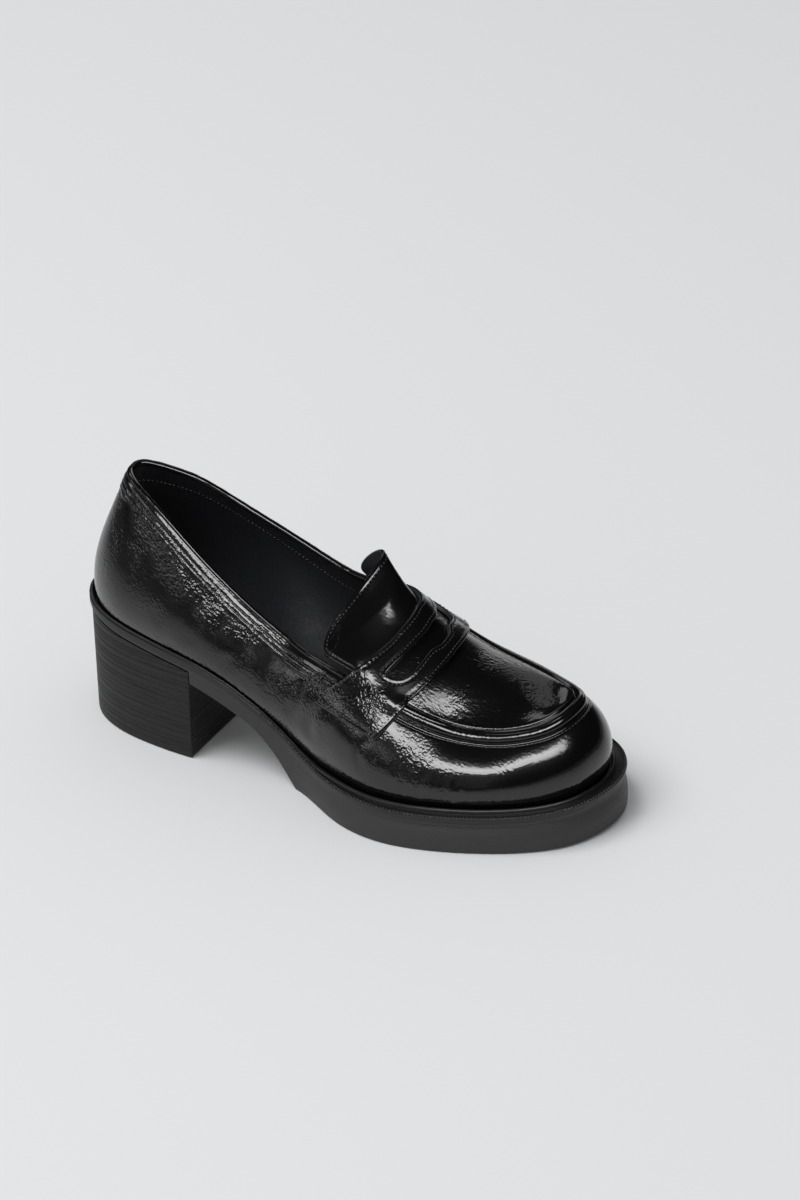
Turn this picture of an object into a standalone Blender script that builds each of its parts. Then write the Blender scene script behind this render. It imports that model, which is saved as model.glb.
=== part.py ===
# Heeled penny loafer, right shoe, standing empty on its sole.
# Metres, +X from heel to toe, +Y to the medial (inner) side, +Z up.
# The origin is on the floor under the middle of the sole's outline.

import math

import bmesh
import bpy
import numpy as np

# Driving sizes
SOLE_LENGTH = 0.2512      # heel to toe over the welt's rim
BALL_WIDTH = 0.093        # widest part of the forefoot over the rim
FOREPART = 0.0142         # rubber under the ball
HEEL_LIFT = 0.042         # heel seat above the forepart's top
BACK_HEIGHT = 0.0645      # collar above the seat, at the back
TOE_SPRING = 0.0036       # rise of the sole's top at the toe
TREAD_SPRING = 0.0012     # rise of the tread there
WALL = 0.0022             # upper leather and lining together
FIT_GAP = 0.0003          # clearance between pieces that touch
SEAT_THICKNESS = 0.0025   # rubber between heel block and upper
WELT_THICKNESS = 0.0028
BEAD_RISE = 0.0016        # storm bead above the welt's ledge
BEAD_WIDTH = 0.0019
RIM_INSET = 0.0003        # sole's top lip inside the welt's rim
SIDE_INSET = 0.0010       # groove under that lip
SIDE_FLARE = 0.0022       # how far the forefoot's side comes out again below the groove
TREAD_BEVEL = 0.0008
LIP_HEIGHT = 0.0016
GROOVE_HEIGHT = 0.0005    # from that lip in to the groove under it
SIDE_ROUNDING = 0.0045    # sole's side curves in over this height at the tread
HEEL_INSET = 0.0010       # heel block inside the rim
HEEL_BEVEL = 0.0006
HEEL_TAPER = 0.0010       # how much the block narrows to the ground, each side
INSOLE_THICKNESS = 0.0020
INSOLE_CLEARANCE = 0.0008
INSOLE_BEVEL = 0.0004
SEAM_WIDTH = 0.0060       # raised apron seam
SEAM_HEIGHT = 0.0017
STRAP_THICKNESS = 0.0020
STRAP_GAP = 0.0004
TONGUE_THICKNESS = 0.0020
FACET_GAP = 0.0001        # extra room where facets of two pieces run side by side
LEDGE = 0.0006            # least flat ledge between the welt's bead and its rim
BINDING_RADIUS = 0.0013

# Sole outline, one row per section from heel to toe.
# Columns: lateral along, lateral across, medial along, medial across, welt width.
# Along is a share of SOLE_LENGTH, across of BALL_WIDTH, welt width of BALL_WIDTH.
OUTLINE_ROWS = [
    (0.000, 0.161, 0.000, 0.161, 0.035),
    (0.016, 0.022, 0.016, 0.296, 0.035),
    (0.050, -0.081, 0.048, 0.382, 0.033),
    (0.102, -0.156, 0.098, 0.425, 0.032),
    (0.170, -0.204, 0.170, 0.435, 0.032),
    (0.250, -0.231, 0.273, 0.403, 0.032),
    (0.337, -0.231, 0.353, 0.333, 0.034),
    (0.417, -0.237, 0.433, 0.317, 0.039),
    (0.489, -0.312, 0.513, 0.360, 0.052),
    (0.565, -0.425, 0.597, 0.435, 0.066),
    (0.649, -0.486, 0.689, 0.495, 0.076),
    (0.744, -0.457, 0.776, 0.516, 0.081),
    (0.836, -0.376, 0.852, 0.505, 0.086),
    (0.912, -0.269, 0.916, 0.468, 0.087),
    (0.970, -0.113, 0.970, 0.360, 0.090),
    (1.000, 0.134, 1.000, 0.134, 0.094),
]

# Top edge of the upper's wall: collar from section 0 to the throat, then the apron seam.
# Columns: lateral along, across, height, medial along, across, height.
# Height is a share of the collar's rise over the forepart (HEEL_LIFT + BACK_HEIGHT).
TOP_ROWS = [
    (0.088, 0.113, 0.972, 0.088, 0.113, 0.972),
    (0.093, 0.055, 0.973, 0.093, 0.171, 0.973),
    (0.116, -0.013, 0.964, 0.116, 0.212, 0.964),
    (0.151, -0.048, 0.920, 0.154, 0.247, 0.938),
    (0.197, -0.078, 0.845, 0.198, 0.285, 0.894),
    (0.258, -0.096, 0.721, 0.254, 0.335, 0.806),
    (0.328, -0.102, 0.587, 0.325, 0.364, 0.713),
    (0.394, -0.119, 0.489, 0.397, 0.375, 0.628),
    (0.462, -0.161, 0.424, 0.469, 0.366, 0.564),
    (0.544, -0.251, 0.413, 0.540, 0.372, 0.521),
    (0.661, -0.269, 0.316, 0.675, 0.396, 0.384),
    (0.739, -0.215, 0.246, 0.749, 0.396, 0.325),
    (0.808, -0.167, 0.234, 0.812, 0.372, 0.302),
    (0.868, -0.108, 0.257, 0.865, 0.328, 0.290),
    (0.908, -0.016, 0.288, 0.908, 0.247, 0.298),
    (0.926, 0.134, 0.311, 0.926, 0.134, 0.311),
]

# How the wall bows between sole and top edge, one row per section.
# Columns: lateral swell low, medial swell low, rise of it, lean at the top, drop of it.
# Swell and lean are shares of BALL_WIDTH, rise and drop of the wall's height there.
WALL_ROWS = [
    (0.038, 0.038, 0.33, 0.085, 0.30),
    (0.043, 0.043, 0.33, 0.090, 0.30),
    (0.062, 0.056, 0.32, 0.098, 0.30),
    (0.084, 0.070, 0.30, 0.108, 0.30),
    (0.088, 0.080, 0.29, 0.115, 0.31),
    (0.086, 0.086, 0.28, 0.122, 0.32),
    (0.080, 0.086, 0.28, 0.126, 0.33),
    (0.078, 0.082, 0.30, 0.126, 0.34),
    (0.078, 0.078, 0.33, 0.120, 0.33),
    (0.076, 0.070, 0.38, 0.110, 0.29),
    (0.066, 0.060, 0.44, 0.104, 0.22),
    (0.064, 0.054, 0.46, 0.104, 0.18),
    (0.066, 0.052, 0.46, 0.098, 0.17),
    (0.070, 0.058, 0.46, 0.092, 0.17),
    (0.074, 0.068, 0.46, 0.088, 0.18),
    (0.076, 0.076, 0.46, 0.088, 0.18),
]

# Crown of the instep, apron and tongue, for sections 8 to 15.
# Columns: along, across, height, as in TOP_ROWS.
CROWN_FIRST = 8
CROWN_ROWS = [
    (0.547, 0.183, 0.792),
    (0.617, 0.140, 0.602),
    (0.697, 0.108, 0.456),
    (0.760, 0.086, 0.386),
    (0.820, 0.086, 0.339),
    (0.858, 0.090, 0.318),
    (0.890, 0.108, 0.312),
    (0.926, 0.134, 0.311),
]

# Height of the outsole's top along the shoe. Columns: along, share of HEEL_LIFT.
SEAT_ROWS = [
    (0.000, 1.000), (0.066, 0.962), (0.166, 0.893), (0.250, 0.800), (0.313, 0.655),
    (0.369, 0.452), (0.425, 0.233), (0.473, 0.076), (0.525, 0.004), (0.605, 0.000),
    (1.000, 0.000),
]

# Underside of the shank from breast to ball. Columns: along, share of HEEL_LIFT.
SHANK_ROWS = [
    (0.240, 0.960), (0.290, 0.840), (0.341, 0.679), (0.373, 0.545), (0.412, 0.305),
    (0.440, 0.100), (0.455, 0.000),
]

# Edges of the saddle strap across the shoe, place 0 in its middle and 1 at the apron's seam.
# Columns: place, rear section, front section.
STRAP_ROWS = [
    (0.00, 9.01, 10.02), (0.24, 9.08, 10.05), (0.50, 9.17, 10.07), (0.72, 9.19, 10.05),
    (0.86, 9.14, 10.00), (1.00, 9.02, 9.92), (1.20, 8.74, 9.78), (1.40, 8.46, 9.62),
]

# Edges of the slot in it. Columns: place, rear share and front share of the strap's width.
SLOT_ROWS = [
    (0.00, 0.36, 0.71), (0.10, 0.36, 0.69), (0.24, 0.345, 0.61), (0.40, 0.34, 0.63),
    (0.56, 0.345, 0.64), (0.66, 0.36, 0.60), (0.71, 0.375, 0.53), (0.73, 0.405, 0.455),
]

# Apron seam's bulge. Columns: share of SEAM_WIDTH, share of SEAM_HEIGHT.
SEAM_ROWS = [(0.15, 0.75), (0.45, 1.00), (0.78, 0.65)]

# Welt's bead. Columns: out as a share of its width, down as a share of BEAD_RISE.
BEAD_ROWS = [(0.30, 0.00), (0.70, 0.12), (1.00, 0.95)]
BEAD_SHARE = 0.45         # most of the welt's width that the bead takes
BEAD_BACK = 0.35          # share of BEAD_RISE where the bead's top leaves the upper

SPRING_START = 0.78       # share of the length where the toe begins to rise
SECTIONS = len(OUTLINE_ROWS) - 1
BREAST = 5.0              # section of the heel's breast
THROAT = 9.5              # section of the apron's rear edge, under the strap
BREAST_STEP = 0.012       # sections that the step at the breast takes
BREAST_CLEARANCE = 0.02   # sections from the heel's breast to that step
STRAP_END = 1.27          # place of the strap's ends, at the rear edge
STRAP_END_SLANT = 0.09    # how much further down they are at the front edge
SLOT_END = 0.73
INSTEP_PULL = (0.18, 0.36)  # roundness of the instep at the seam and at the crown
BROW_PLACE = 0.10         # share of the half instep that the seam takes
SEAM_START = (10.12, 10.35)
FLARE_START = (7.4, 9.2)
TONGUE_TOP = 8.05
TONGUE_CORNER = 0.42      # sections that its top corners are rounded by
TONGUE_SIDE = 0.93        # place of its sides
TONGUE_SEAM = 0.05        # sections between tongue and apron
BINDING_END = 8.90


# Splines through rows

def closed_tangents(points):
    count = len(points)
    matrix = 4.0 * np.eye(count)
    for i in range(count):
        matrix[i, (i + 1) % count] += 1.0
        matrix[i, (i - 1) % count] += 1.0
    sides = 3.0 * (np.roll(points, -1, axis=0) - np.roll(points, 1, axis=0))
    return np.linalg.solve(matrix, sides)


def open_tangents(points):
    count = len(points)
    matrix = 4.0 * np.eye(count)
    sides = np.zeros_like(points)
    matrix[0, 0] = matrix[-1, -1] = 2.0
    for i in range(count):
        before = max(i - 1, 0)
        after = min(i + 1, count - 1)
        if i > 0:
            matrix[i, before] = 1.0
        if i < count - 1:
            matrix[i, after] = 1.0
        sides[i] = 3.0 * (points[after] - points[before])
    return np.linalg.solve(matrix, sides)


def hermite(points, tangents, place, closed):
    place = np.atleast_1d(np.asarray(place, float))
    count = len(points)
    if closed:
        start = np.floor(place).astype(int)
        after = (start + 1) % count
        share = (place - start)[:, None]
        start = start % count
    else:
        start = np.clip(np.floor(place).astype(int), 0, count - 2)
        after = start + 1
        share = (place - start)[:, None]
    square, cube = share ** 2, share ** 3
    return ((2 * cube - 3 * square + 1) * points[start]
            + (cube - 2 * square + share) * tangents[start]
            + (3 * square - 2 * cube) * points[after]
            + (cube - square) * tangents[after])


def smooth_step(value, low, high):
    share = np.clip((value - low) / (high - low), 0.0, 1.0)
    return share * share * (3.0 - 2.0 * share)


def row_curve(rows, along):
    """Smooth height through (along, share) rows without overshoot."""
    table = np.array(rows)
    xs, ys = table[:, 0], table[:, 1]
    steps = np.diff(xs)
    slopes = np.diff(ys) / steps
    tangents = np.zeros(len(xs))
    for i in range(1, len(xs) - 1):
        if slopes[i - 1] * slopes[i] > 0:
            weight = (2 * steps[i] + steps[i - 1], steps[i] + 2 * steps[i - 1])
            tangents[i] = sum(weight) / (weight[0] / slopes[i - 1] + weight[1] / slopes[i])
    tangents[0], tangents[-1] = slopes[0], slopes[-1]
    along = np.clip(np.asarray(along, float), xs[0], xs[-1])
    spot = np.clip(np.searchsorted(xs, along, side="right") - 1, 0, len(xs) - 2)
    step = steps[spot]
    share = (along - xs[spot]) / step
    square, cube = share ** 2, share ** 3
    return ((2 * cube - 3 * square + 1) * ys[spot] + (cube - 2 * square + share) * step * tangents[spot]
            + (3 * square - 2 * cube) * ys[spot + 1] + (cube - square) * step * tangents[spot + 1])


# The last: every closed curve runs heel, lateral side, toe, medial side

def closed_rows():
    """Rows of the two sides joined into one closed loop of 2 * SECTIONS knots."""
    rise = HEEL_LIFT + BACK_HEIGHT
    lateral, medial = [], []
    for outline, top, wall in zip(OUTLINE_ROWS, TOP_ROWS, WALL_ROWS):
        shared = (outline[4] * BALL_WIDTH, wall[2], wall[3] * BALL_WIDTH, wall[4])
        for side, store in ((0, lateral), (1, medial)):
            o, t = 2 * side, 3 * side
            store.append((outline[o] * SOLE_LENGTH, outline[o + 1] * BALL_WIDTH,
                          top[t] * SOLE_LENGTH, top[t + 1] * BALL_WIDTH,
                          FOREPART + WELT_THICKNESS + BEAD_RISE + top[t + 2] * rise,
                          wall[side] * BALL_WIDTH) + shared)
    return np.array(lateral + medial[-2:0:-1])


LOOP = closed_rows()
LOOP_TANGENTS = closed_tangents(LOOP)
LOOP_COUNT = len(LOOP)


def loop_values(turn):
    return hermite(LOOP, LOOP_TANGENTS, turn, True)


def outward(turn):
    """Unit normal of the sole outline, in plan."""
    step = 0.01
    ahead, behind = loop_values(turn + step)[:, :2], loop_values(turn - step)[:, :2]
    tangent = ahead - behind
    tangent /= np.linalg.norm(tangent, axis=1)[:, None]
    return np.stack([tangent[:, 1], -tangent[:, 0], np.zeros(len(tangent))], axis=1)


def section_of(turn):
    return np.minimum(turn % LOOP_COUNT, LOOP_COUNT - turn % LOOP_COUNT)


def flare(turn):
    """How far the sole's side comes out again below its groove: only around the forefoot."""
    return SIDE_FLARE * smooth_step(section_of(turn), *FLARE_START)


def outline_centre():
    turns = np.linspace(0, LOOP_COUNT, 721)
    edge = rim_edge(turns, np.minimum(SIDE_INSET - flare(turns), 0.0))[:, :2]
    return (edge.min(axis=0) + edge.max(axis=0)) / 2.0


def seat_height(x):
    """Top of the outsole at length x, before the model is centred."""
    along = x / SOLE_LENGTH
    spring = np.clip((along - SPRING_START) / (1.0 - SPRING_START), 0.0, 1.0) ** 2
    return FOREPART + HEEL_LIFT * row_curve(SEAT_ROWS, along) + TOE_SPRING * spring


def ground_height(x, behind_breast):
    along = x / SOLE_LENGTH
    spring = np.clip((along - SPRING_START) / (1.0 - SPRING_START), 0.0, 1.0) ** 2
    front = HEEL_LIFT * row_curve(SHANK_ROWS, along) + TREAD_SPRING * spring
    front = np.minimum(front, seat_height(x) - SEAT_THICKNESS)
    return np.where(behind_breast, seat_height(x) - SEAT_THICKNESS, front)


def rim_edge(turn, inset):
    """Sole outline moved inwards by inset, in plan."""
    values = loop_values(turn)
    inset = np.asarray(inset, float)
    edge = np.column_stack([values[:, :2], np.zeros(len(values))])
    return edge - outward(turn) * np.broadcast_to(inset, len(values))[:, None]


CENTRE = outline_centre()


def feather_edge(turn):
    """Foot of the upper's wall, standing on the outsole."""
    edge = rim_edge(turn, loop_values(turn)[:, 6])
    edge[:, 2] = seat_height(edge[:, 0]) + FIT_GAP
    return edge


def wall_frame(turn):
    """The four control points of the wall's curve from sole to top edge."""
    values = loop_values(turn)
    foot = feather_edge(turn)
    top = values[:, 2:5].copy()
    normal = outward(turn)
    height = (top[:, 2] - foot[:, 2])[:, None]
    up = np.array([0.0, 0.0, 1.0])
    low = foot + normal * values[:, 5:6] + up * height * values[:, 7:8]
    high = top + normal * values[:, 8:9] - up * height * values[:, 9:10]
    return foot, low, high, top


def bezier(p0, p1, p2, p3, share):
    share = np.asarray(share, float)[:, None]
    rest = 1.0 - share
    return rest ** 3 * p0 + 3 * rest ** 2 * share * p1 + 3 * rest * share ** 2 * p2 + share ** 3 * p3


def wall_point(turn, share):
    return bezier(*wall_frame(turn), share)


def brow(turn):
    """Direction in which the wall reaches its top edge."""
    _, _, high, top = wall_frame(turn)
    direction = top - high
    return direction / np.linalg.norm(direction, axis=1)[:, None]


CROWN = np.array([(a * SOLE_LENGTH, b * BALL_WIDTH,
                   FOREPART + WELT_THICKNESS + BEAD_RISE + c * (HEEL_LIFT + BACK_HEIGHT))
                  for a, b, c in CROWN_ROWS])
CROWN[-1] = LOOP[SECTIONS, 2:5] + brow(np.array([float(SECTIONS)]))[0] * SEAM_WIDTH
CROWN_TANGENTS = open_tangents(CROWN)


def crown_point(section):
    return hermite(CROWN, CROWN_TANGENTS, np.asarray(section) - CROWN_FIRST, False)


def side_turn(section, medial):
    return np.where(medial, LOOP_COUNT - section, section)


def instep_point(section, across):
    """Point on the instep: across runs from -1 at the lateral seam to 1 at the medial one."""
    section = np.asarray(section, float)
    across = np.asarray(across, float)
    medial = across > 0
    turn = side_turn(section, medial)
    start = wall_frame(turn)[3] + brow(turn) * SEAM_WIDTH
    crown = crown_point(section)
    other = wall_frame(side_turn(section, ~medial))[3]
    chord = other - wall_frame(turn)[3]
    chord /= np.maximum(np.linalg.norm(chord, axis=1), 1e-9)[:, None]
    reach = np.linalg.norm(crown - start, axis=1)[:, None]
    low = start + brow(turn) * reach * INSTEP_PULL[0]
    high = crown - chord * reach * INSTEP_PULL[1]
    return bezier(start, low, high, crown, 1.0 - np.abs(across))


def last_point(section, place):
    """Point on the whole section: place is -2 at the lateral sole edge, -1 to 1 the instep, 2 medial."""
    section = np.asarray(section, float)
    place = np.asarray(place, float)
    medial = place > 0
    turn = side_turn(section, medial)
    depth = np.abs(place)
    wall = wall_point(turn, np.clip(2.0 - depth, 0.0, 1.0))
    edge = BROW_PLACE
    slope = wall_frame(turn)[3] + brow(turn) * (np.clip(1.0 - depth, 0.0, edge) / edge * SEAM_WIDTH)[:, None]
    instep = instep_point(section, np.sign(place) * np.clip(depth / (1.0 - edge), 0.0, 1.0))
    point = np.where((depth >= 1.0)[:, None], wall, slope)
    return np.where((depth < 1.0 - edge)[:, None], instep, point)


# Solids

def material(name, colour, roughness, coat):
    made = bpy.data.materials.new(name)
    made.use_nodes = True
    shader = made.node_tree.nodes["Principled BSDF"]
    shader.inputs["Base Color"].default_value = (*colour, 1.0)
    shader.inputs["Roughness"].default_value = roughness
    shader.inputs["Metallic"].default_value = 0.0
    shader.inputs["Coat Weight"].default_value = coat
    return made


def add_object(name, points, faces, look):
    """One closed body from points and faces, faces turned outwards."""
    points = np.asarray(points, float) - np.array([CENTRE[0], CENTRE[1], 0.0])
    mesh = bpy.data.meshes.new(name)
    mesh.from_pydata([tuple(p) for p in points], [], [tuple(int(i) for i in f) for f in faces])
    body = bmesh.new()
    body.from_mesh(mesh)
    bmesh.ops.remove_doubles(body, verts=body.verts, dist=1e-6)
    bmesh.ops.dissolve_degenerate(body, edges=body.edges, dist=1e-7)
    bmesh.ops.recalc_face_normals(body, faces=body.faces)
    bmesh.ops.triangulate(body, faces=body.faces)
    body.to_mesh(mesh)
    body.free()
    mesh.materials.append(look)
    mesh.shade_smooth()
    mesh.set_sharp_from_angle(angle=math.radians(40))
    made = bpy.data.objects.new(name, mesh)
    bpy.context.scene.collection.objects.link(made)
    return made


def point_normals(points, faces):
    normals = np.zeros_like(points)
    for face in faces:
        corners = points[list(face)]
        area = np.cross(corners[2] - corners[0], corners[-1] - corners[1])
        for i in face:
            normals[i] += area
    return normals / np.maximum(np.linalg.norm(normals, axis=1), 1e-12)[:, None]


def sheet_body(points, faces, lift, drop):
    """A sheet given two faces, lift outside the points and drop inside them, and closed at its edges."""
    normals = point_normals(points, faces)
    outer = points + normals * np.broadcast_to(lift, len(points))[:, None]
    inner = points - normals * np.broadcast_to(drop, len(points))[:, None]
    count = len(points)
    used = {}
    for face in faces:
        for i in range(len(face)):
            a, b = face[i], face[(i + 1) % len(face)]
            if a != b:
                used[(a, b)] = True
    sides = [(b, a, a + count, b + count) for a, b in used if (b, a) not in used]
    flipped = [tuple(i + count for i in reversed(face)) for face in faces]
    return np.vstack([outer, inner]), list(faces) + flipped + sides


def without_repeats(face):
    kept = []
    for i in face:
        if i not in kept:
            kept.append(i)
    return tuple(kept)


def slab(name, sections, rings, columns, look, open_front=False):
    """A body between a top and a bottom over the sole's outline.

    rings runs from top to bottom; each is a function that gives the edge points for turns."""
    turns = np.concatenate([sections, LOOP_COUNT - sections[::-1]])
    count = len(sections)
    points, rows = [], []
    for ring, _ in rings:
        start = len(points)
        points.extend(ring(turns))
        rows.append(start)
    faces = []
    for upper, lower in zip(rows[:-1], rows[1:]):
        spans = [(i, i + 1) for i in range(2 * count - 1) if not open_front or i != count - 1]
        spans.append((2 * count - 1, 0))
        for i, j in spans:
            faces.append((upper + i, upper + j, lower + j, lower + i))
    caps = []
    for row, (_, height) in ((rows[0], rings[0]), (rows[-1], rings[-1])):
        grid = []
        for i in range(count):
            first, second = points[row + i], points[row + 2 * count - 1 - i]
            line = [row + i]
            for c in range(1, columns):
                spot = first + (second - first) * c / columns
                spot[2] = height(np.array([spot[0]]), np.array([i]))[0]
                line.append(len(points))
                points.append(spot)
            line.append(row + 2 * count - 1 - i)
            grid.append(line)
        for a, b in zip(grid[:-1], grid[1:]):
            for c in range(columns):
                faces.append((a[c], a[c + 1], b[c + 1], b[c]))
        caps.append(grid)
    if open_front:
        top, bottom = caps[0][-1], caps[1][-1]
        left = [row + count - 1 for row in rows]
        right = [row + count for row in rows]
        ring = top + right[1:] + bottom[::-1][1:] + left[::-1][1:-1]
        faces.append(tuple(ring))
    return add_object(name, np.array(points), faces, look)


def spaced(start, end, count, ease):
    """Sections from start to end, closer together at the ends when ease is above 0."""
    share = np.linspace(0.0, 1.0, count)
    eased = 0.5 - 0.5 * np.cos(math.pi * share)
    return start + (end - start) * ((1.0 - ease) * share + ease * eased)


def shoe_sections():
    """Sections that sole, welt and upper share, so that their facets lie side by side."""
    return np.concatenate([spaced(0.0, BREAST, 9, 0.35), spaced(BREAST, THROAT, 12, 0.0)[1:],
                           spaced(THROAT, SECTIONS, 18, 0.20)[1:]])


def outsole(look):
    """Rubber unit: platform, shank and heel seat in one piece, stepped at the heel's breast."""
    shared = shoe_sections()
    rear = shared[shared <= BREAST]
    front = np.concatenate([[BREAST + BREAST_STEP], shared[shared > BREAST]])
    sections = np.concatenate([rear, front])
    seat_side = np.concatenate([np.ones(len(rear), bool), np.zeros(len(front), bool)])
    both = np.concatenate([seat_side, seat_side[::-1]])

    def edge(inset, share_down, drop, bottom, flared=False):
        def ring(turns):
            points = rim_edge(turns, inset - flare(turns) if flared else inset)
            top = seat_height(points[:, 0])
            ground = ground_height(points[:, 0], both)
            thick = top - ground
            down = np.minimum(drop, share_down * thick)
            points[:, 2] = ground + down if bottom else top - down
            return points
        return ring

    def top_height(x, _):
        return seat_height(x)

    def bottom_height(x, i):
        return ground_height(x, seat_side[i])

    rings = [
        (edge(RIM_INSET, 0.0, 0.0, False), top_height),
        (edge(RIM_INSET, 0.45, LIP_HEIGHT, False), None),
        (edge(SIDE_INSET, 0.60, LIP_HEIGHT + GROOVE_HEIGHT, False), None),
        (edge(SIDE_INSET, 0.40, SIDE_ROUNDING, True, True), None),
        (edge(SIDE_INSET, 0.20, TREAD_BEVEL, True, True), None),
        (edge(SIDE_INSET + TREAD_BEVEL, 0.0, 0.0, True, True), bottom_height),
    ]
    return slab("outsole", sections, rings, 6, look)


def heel(look):
    """Block heel under the seat, with a straight back and a flat breast."""
    sections = spaced(0.0, BREAST - BREAST_CLEARANCE, 14, 0.35)

    def edge(inset, rise):
        def ring(turns):
            points = rim_edge(turns, inset)
            points[:, 2] = top_height(points[:, 0], None) if rise is None else rise
            return points
        return ring

    def top_height(x, _):
        return seat_height(x) - SEAT_THICKNESS - FIT_GAP

    def bottom_height(x, _):
        return np.zeros_like(x)

    rings = [
        (edge(HEEL_INSET, None), top_height),
        (edge(HEEL_INSET + HEEL_TAPER, HEEL_BEVEL), None),
        (edge(HEEL_INSET + HEEL_TAPER + HEEL_BEVEL, 0.0), bottom_height),
    ]
    return slab("heel", sections, rings, 4, look, open_front=True)


def insole(look):
    """Sock lining that lies on the outsole inside the upper."""
    sections = shoe_sections()

    def edge(height, extra):
        def ring(turns):
            inset = loop_values(turns)[:, 6] + WALL + INSOLE_CLEARANCE + extra
            points = rim_edge(turns, inset)
            points[:, 2] = seat_height(points[:, 0]) + FIT_GAP + height
            return points
        return ring

    def top_height(x, _):
        return seat_height(x) + FIT_GAP + INSOLE_THICKNESS

    def bottom_height(x, _):
        return seat_height(x) + FIT_GAP

    rings = [(edge(INSOLE_THICKNESS, INSOLE_BEVEL), top_height), (edge(0.0, 0.0), bottom_height)]
    return slab("insole", sections, rings, 5, look)


def welt(look):
    """Storm welt: a bead against the upper, a ledge and a square rim, on the outsole."""
    sections = shoe_sections()
    turns = np.concatenate([sections, LOOP_COUNT - sections[-2:0:-1]])
    normal = outward(turns)
    up = np.array([0.0, 0.0, 1.0])
    foot, low, _, _ = wall_frame(turns)
    lean = (low - foot) / (low - foot)[:, 2:3]
    base = rim_edge(turns, loop_values(turns)[:, 6])
    base[:, 2] = seat_height(base[:, 0]) + FIT_GAP
    rim = rim_edge(turns, 0.0)
    rim[:, 2] = seat_height(rim[:, 0]) + FIT_GAP
    room = np.linalg.norm((rim - base)[:, :2], axis=1)[:, None]
    bead = np.minimum(BEAD_WIDTH, BEAD_SHARE * room)
    inner_low = base + normal * (FIT_GAP + FACET_GAP)
    shoulder = base + lean * (WELT_THICKNESS + BEAD_RISE) + normal * (FIT_GAP + 2.0 * FACET_GAP)
    foot_out = shoulder + normal * bead
    over = np.einsum("ij,ij->i", foot_out - (rim - normal * LEDGE), normal)[:, None]
    bead = bead - np.maximum(over, 0.0)
    rings = [inner_low, shoulder - lean * BEAD_RISE * BEAD_BACK]
    rings += [shoulder + normal * bead * out - up * BEAD_RISE * down for out, down in BEAD_ROWS]
    rings += [rim + up * WELT_THICKNESS, rim]
    count = len(turns)
    points = np.vstack(rings)
    faces = []
    for a in range(len(rings)):
        b = (a + 1) % len(rings)
        for i in range(count):
            j = (i + 1) % count
            faces.append((a * count + i, a * count + j, b * count + j, b * count + i))
    return add_object("welt", points, faces, look)


def upper(look):
    """One hollow wall: quarters and vamp from the sole up, and the apron inside the raised seam."""
    sections = shoe_sections()
    first = int(np.argmin(np.abs(sections - THROAT)))
    count = len(sections)
    turns = np.concatenate([sections, LOOP_COUNT - sections[-2:0:-1]])
    total = len(turns)
    wall_shares = [0.0, 0.10, 0.24, 0.40, 0.57, 0.74, 0.89, 1.0]
    rows = [wall_point(turns, np.full(total, share)) for share in wall_shares]
    points = list(np.vstack(rows))
    lift = [0.0] * len(points)
    faces = []
    for r in range(len(wall_shares) - 1):
        for i in range(total):
            j = (i + 1) % total
            faces.append((r * total + i, r * total + j, (r + 1) * total + j, (r + 1) * total + i))
    top_row = (len(wall_shares) - 1) * total
    seam = smooth_step(sections, *SEAM_START)
    instep = [-1.0, -0.86, -0.70, -0.50, -0.26, 0.0, 0.26, 0.50, 0.70, 0.86, 1.0]
    lines = []
    for s in range(first, count):
        tip = s == count - 1
        lateral = top_row + s
        medial = top_row + (total - s) % total
        line = [lateral]

        def add(point, height):
            points.append(point)
            lift.append(height)
            return len(points) - 1

        turn = np.array([sections[s], LOOP_COUNT - sections[s]])
        edge, way = wall_frame(turn)[3], brow(turn)
        height = SEAM_HEIGHT * seam[s]
        if tip:
            crest = [add(edge[0] + way[0] * SEAM_WIDTH * out, height * rise) for out, rise in SEAM_ROWS]
            end = add(edge[0] + way[0] * SEAM_WIDTH, 0.0)
            line += crest + [end] * len(instep) + crest[::-1] + [lateral]
        else:
            line += [add(edge[0] + way[0] * SEAM_WIDTH * out, height * rise) for out, rise in SEAM_ROWS]
            middle = instep_point(np.full(len(instep), sections[s]), np.array(instep))
            line += [add(p, 0.0) for p in middle]
            line += [add(edge[1] + way[1] * SEAM_WIDTH * out, height * rise)
                     for out, rise in reversed(SEAM_ROWS)]
            line.append(medial)
        lines.append(line)
    for a, b in zip(lines[:-1], lines[1:]):
        for c in range(len(a) - 1):
            face = without_repeats((a[c], b[c], b[c + 1], a[c + 1]))
            if len(face) > 2:
                faces.append(face)
    points = np.array(points)
    solid, sides = sheet_body(points, faces, np.array(lift), WALL)
    return add_object("upper", solid, sides, look)


def tongue(look):
    """Rounded plate that carries the apron's line on under the strap and stands behind it."""
    across = np.linspace(-1.0, 1.0, 15)
    lines = 9
    points, faces = [], []
    for row in range(lines):
        share = row / (lines - 1)
        for t in across:
            start = TONGUE_TOP + TONGUE_CORNER * abs(t) ** 5
            section = start + (THROAT - TONGUE_SEAM - start) * share
            points.append((section, t * TONGUE_SIDE))
    points = np.array(points)
    base = last_point(points[:, 0], points[:, 1])
    columns = len(across)
    for r in range(lines - 1):
        for c in range(columns - 1):
            i = r * columns + c
            faces.append((i, i + columns, i + columns + 1, i + 1))
    solid, sides = sheet_body(base, faces, 0.0, TONGUE_THICKNESS)
    return add_object("tongue", solid, sides, look)


def strap_curve(rows, column, place):
    return row_curve([(row[0], row[column]) for row in rows], np.abs(place))


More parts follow.
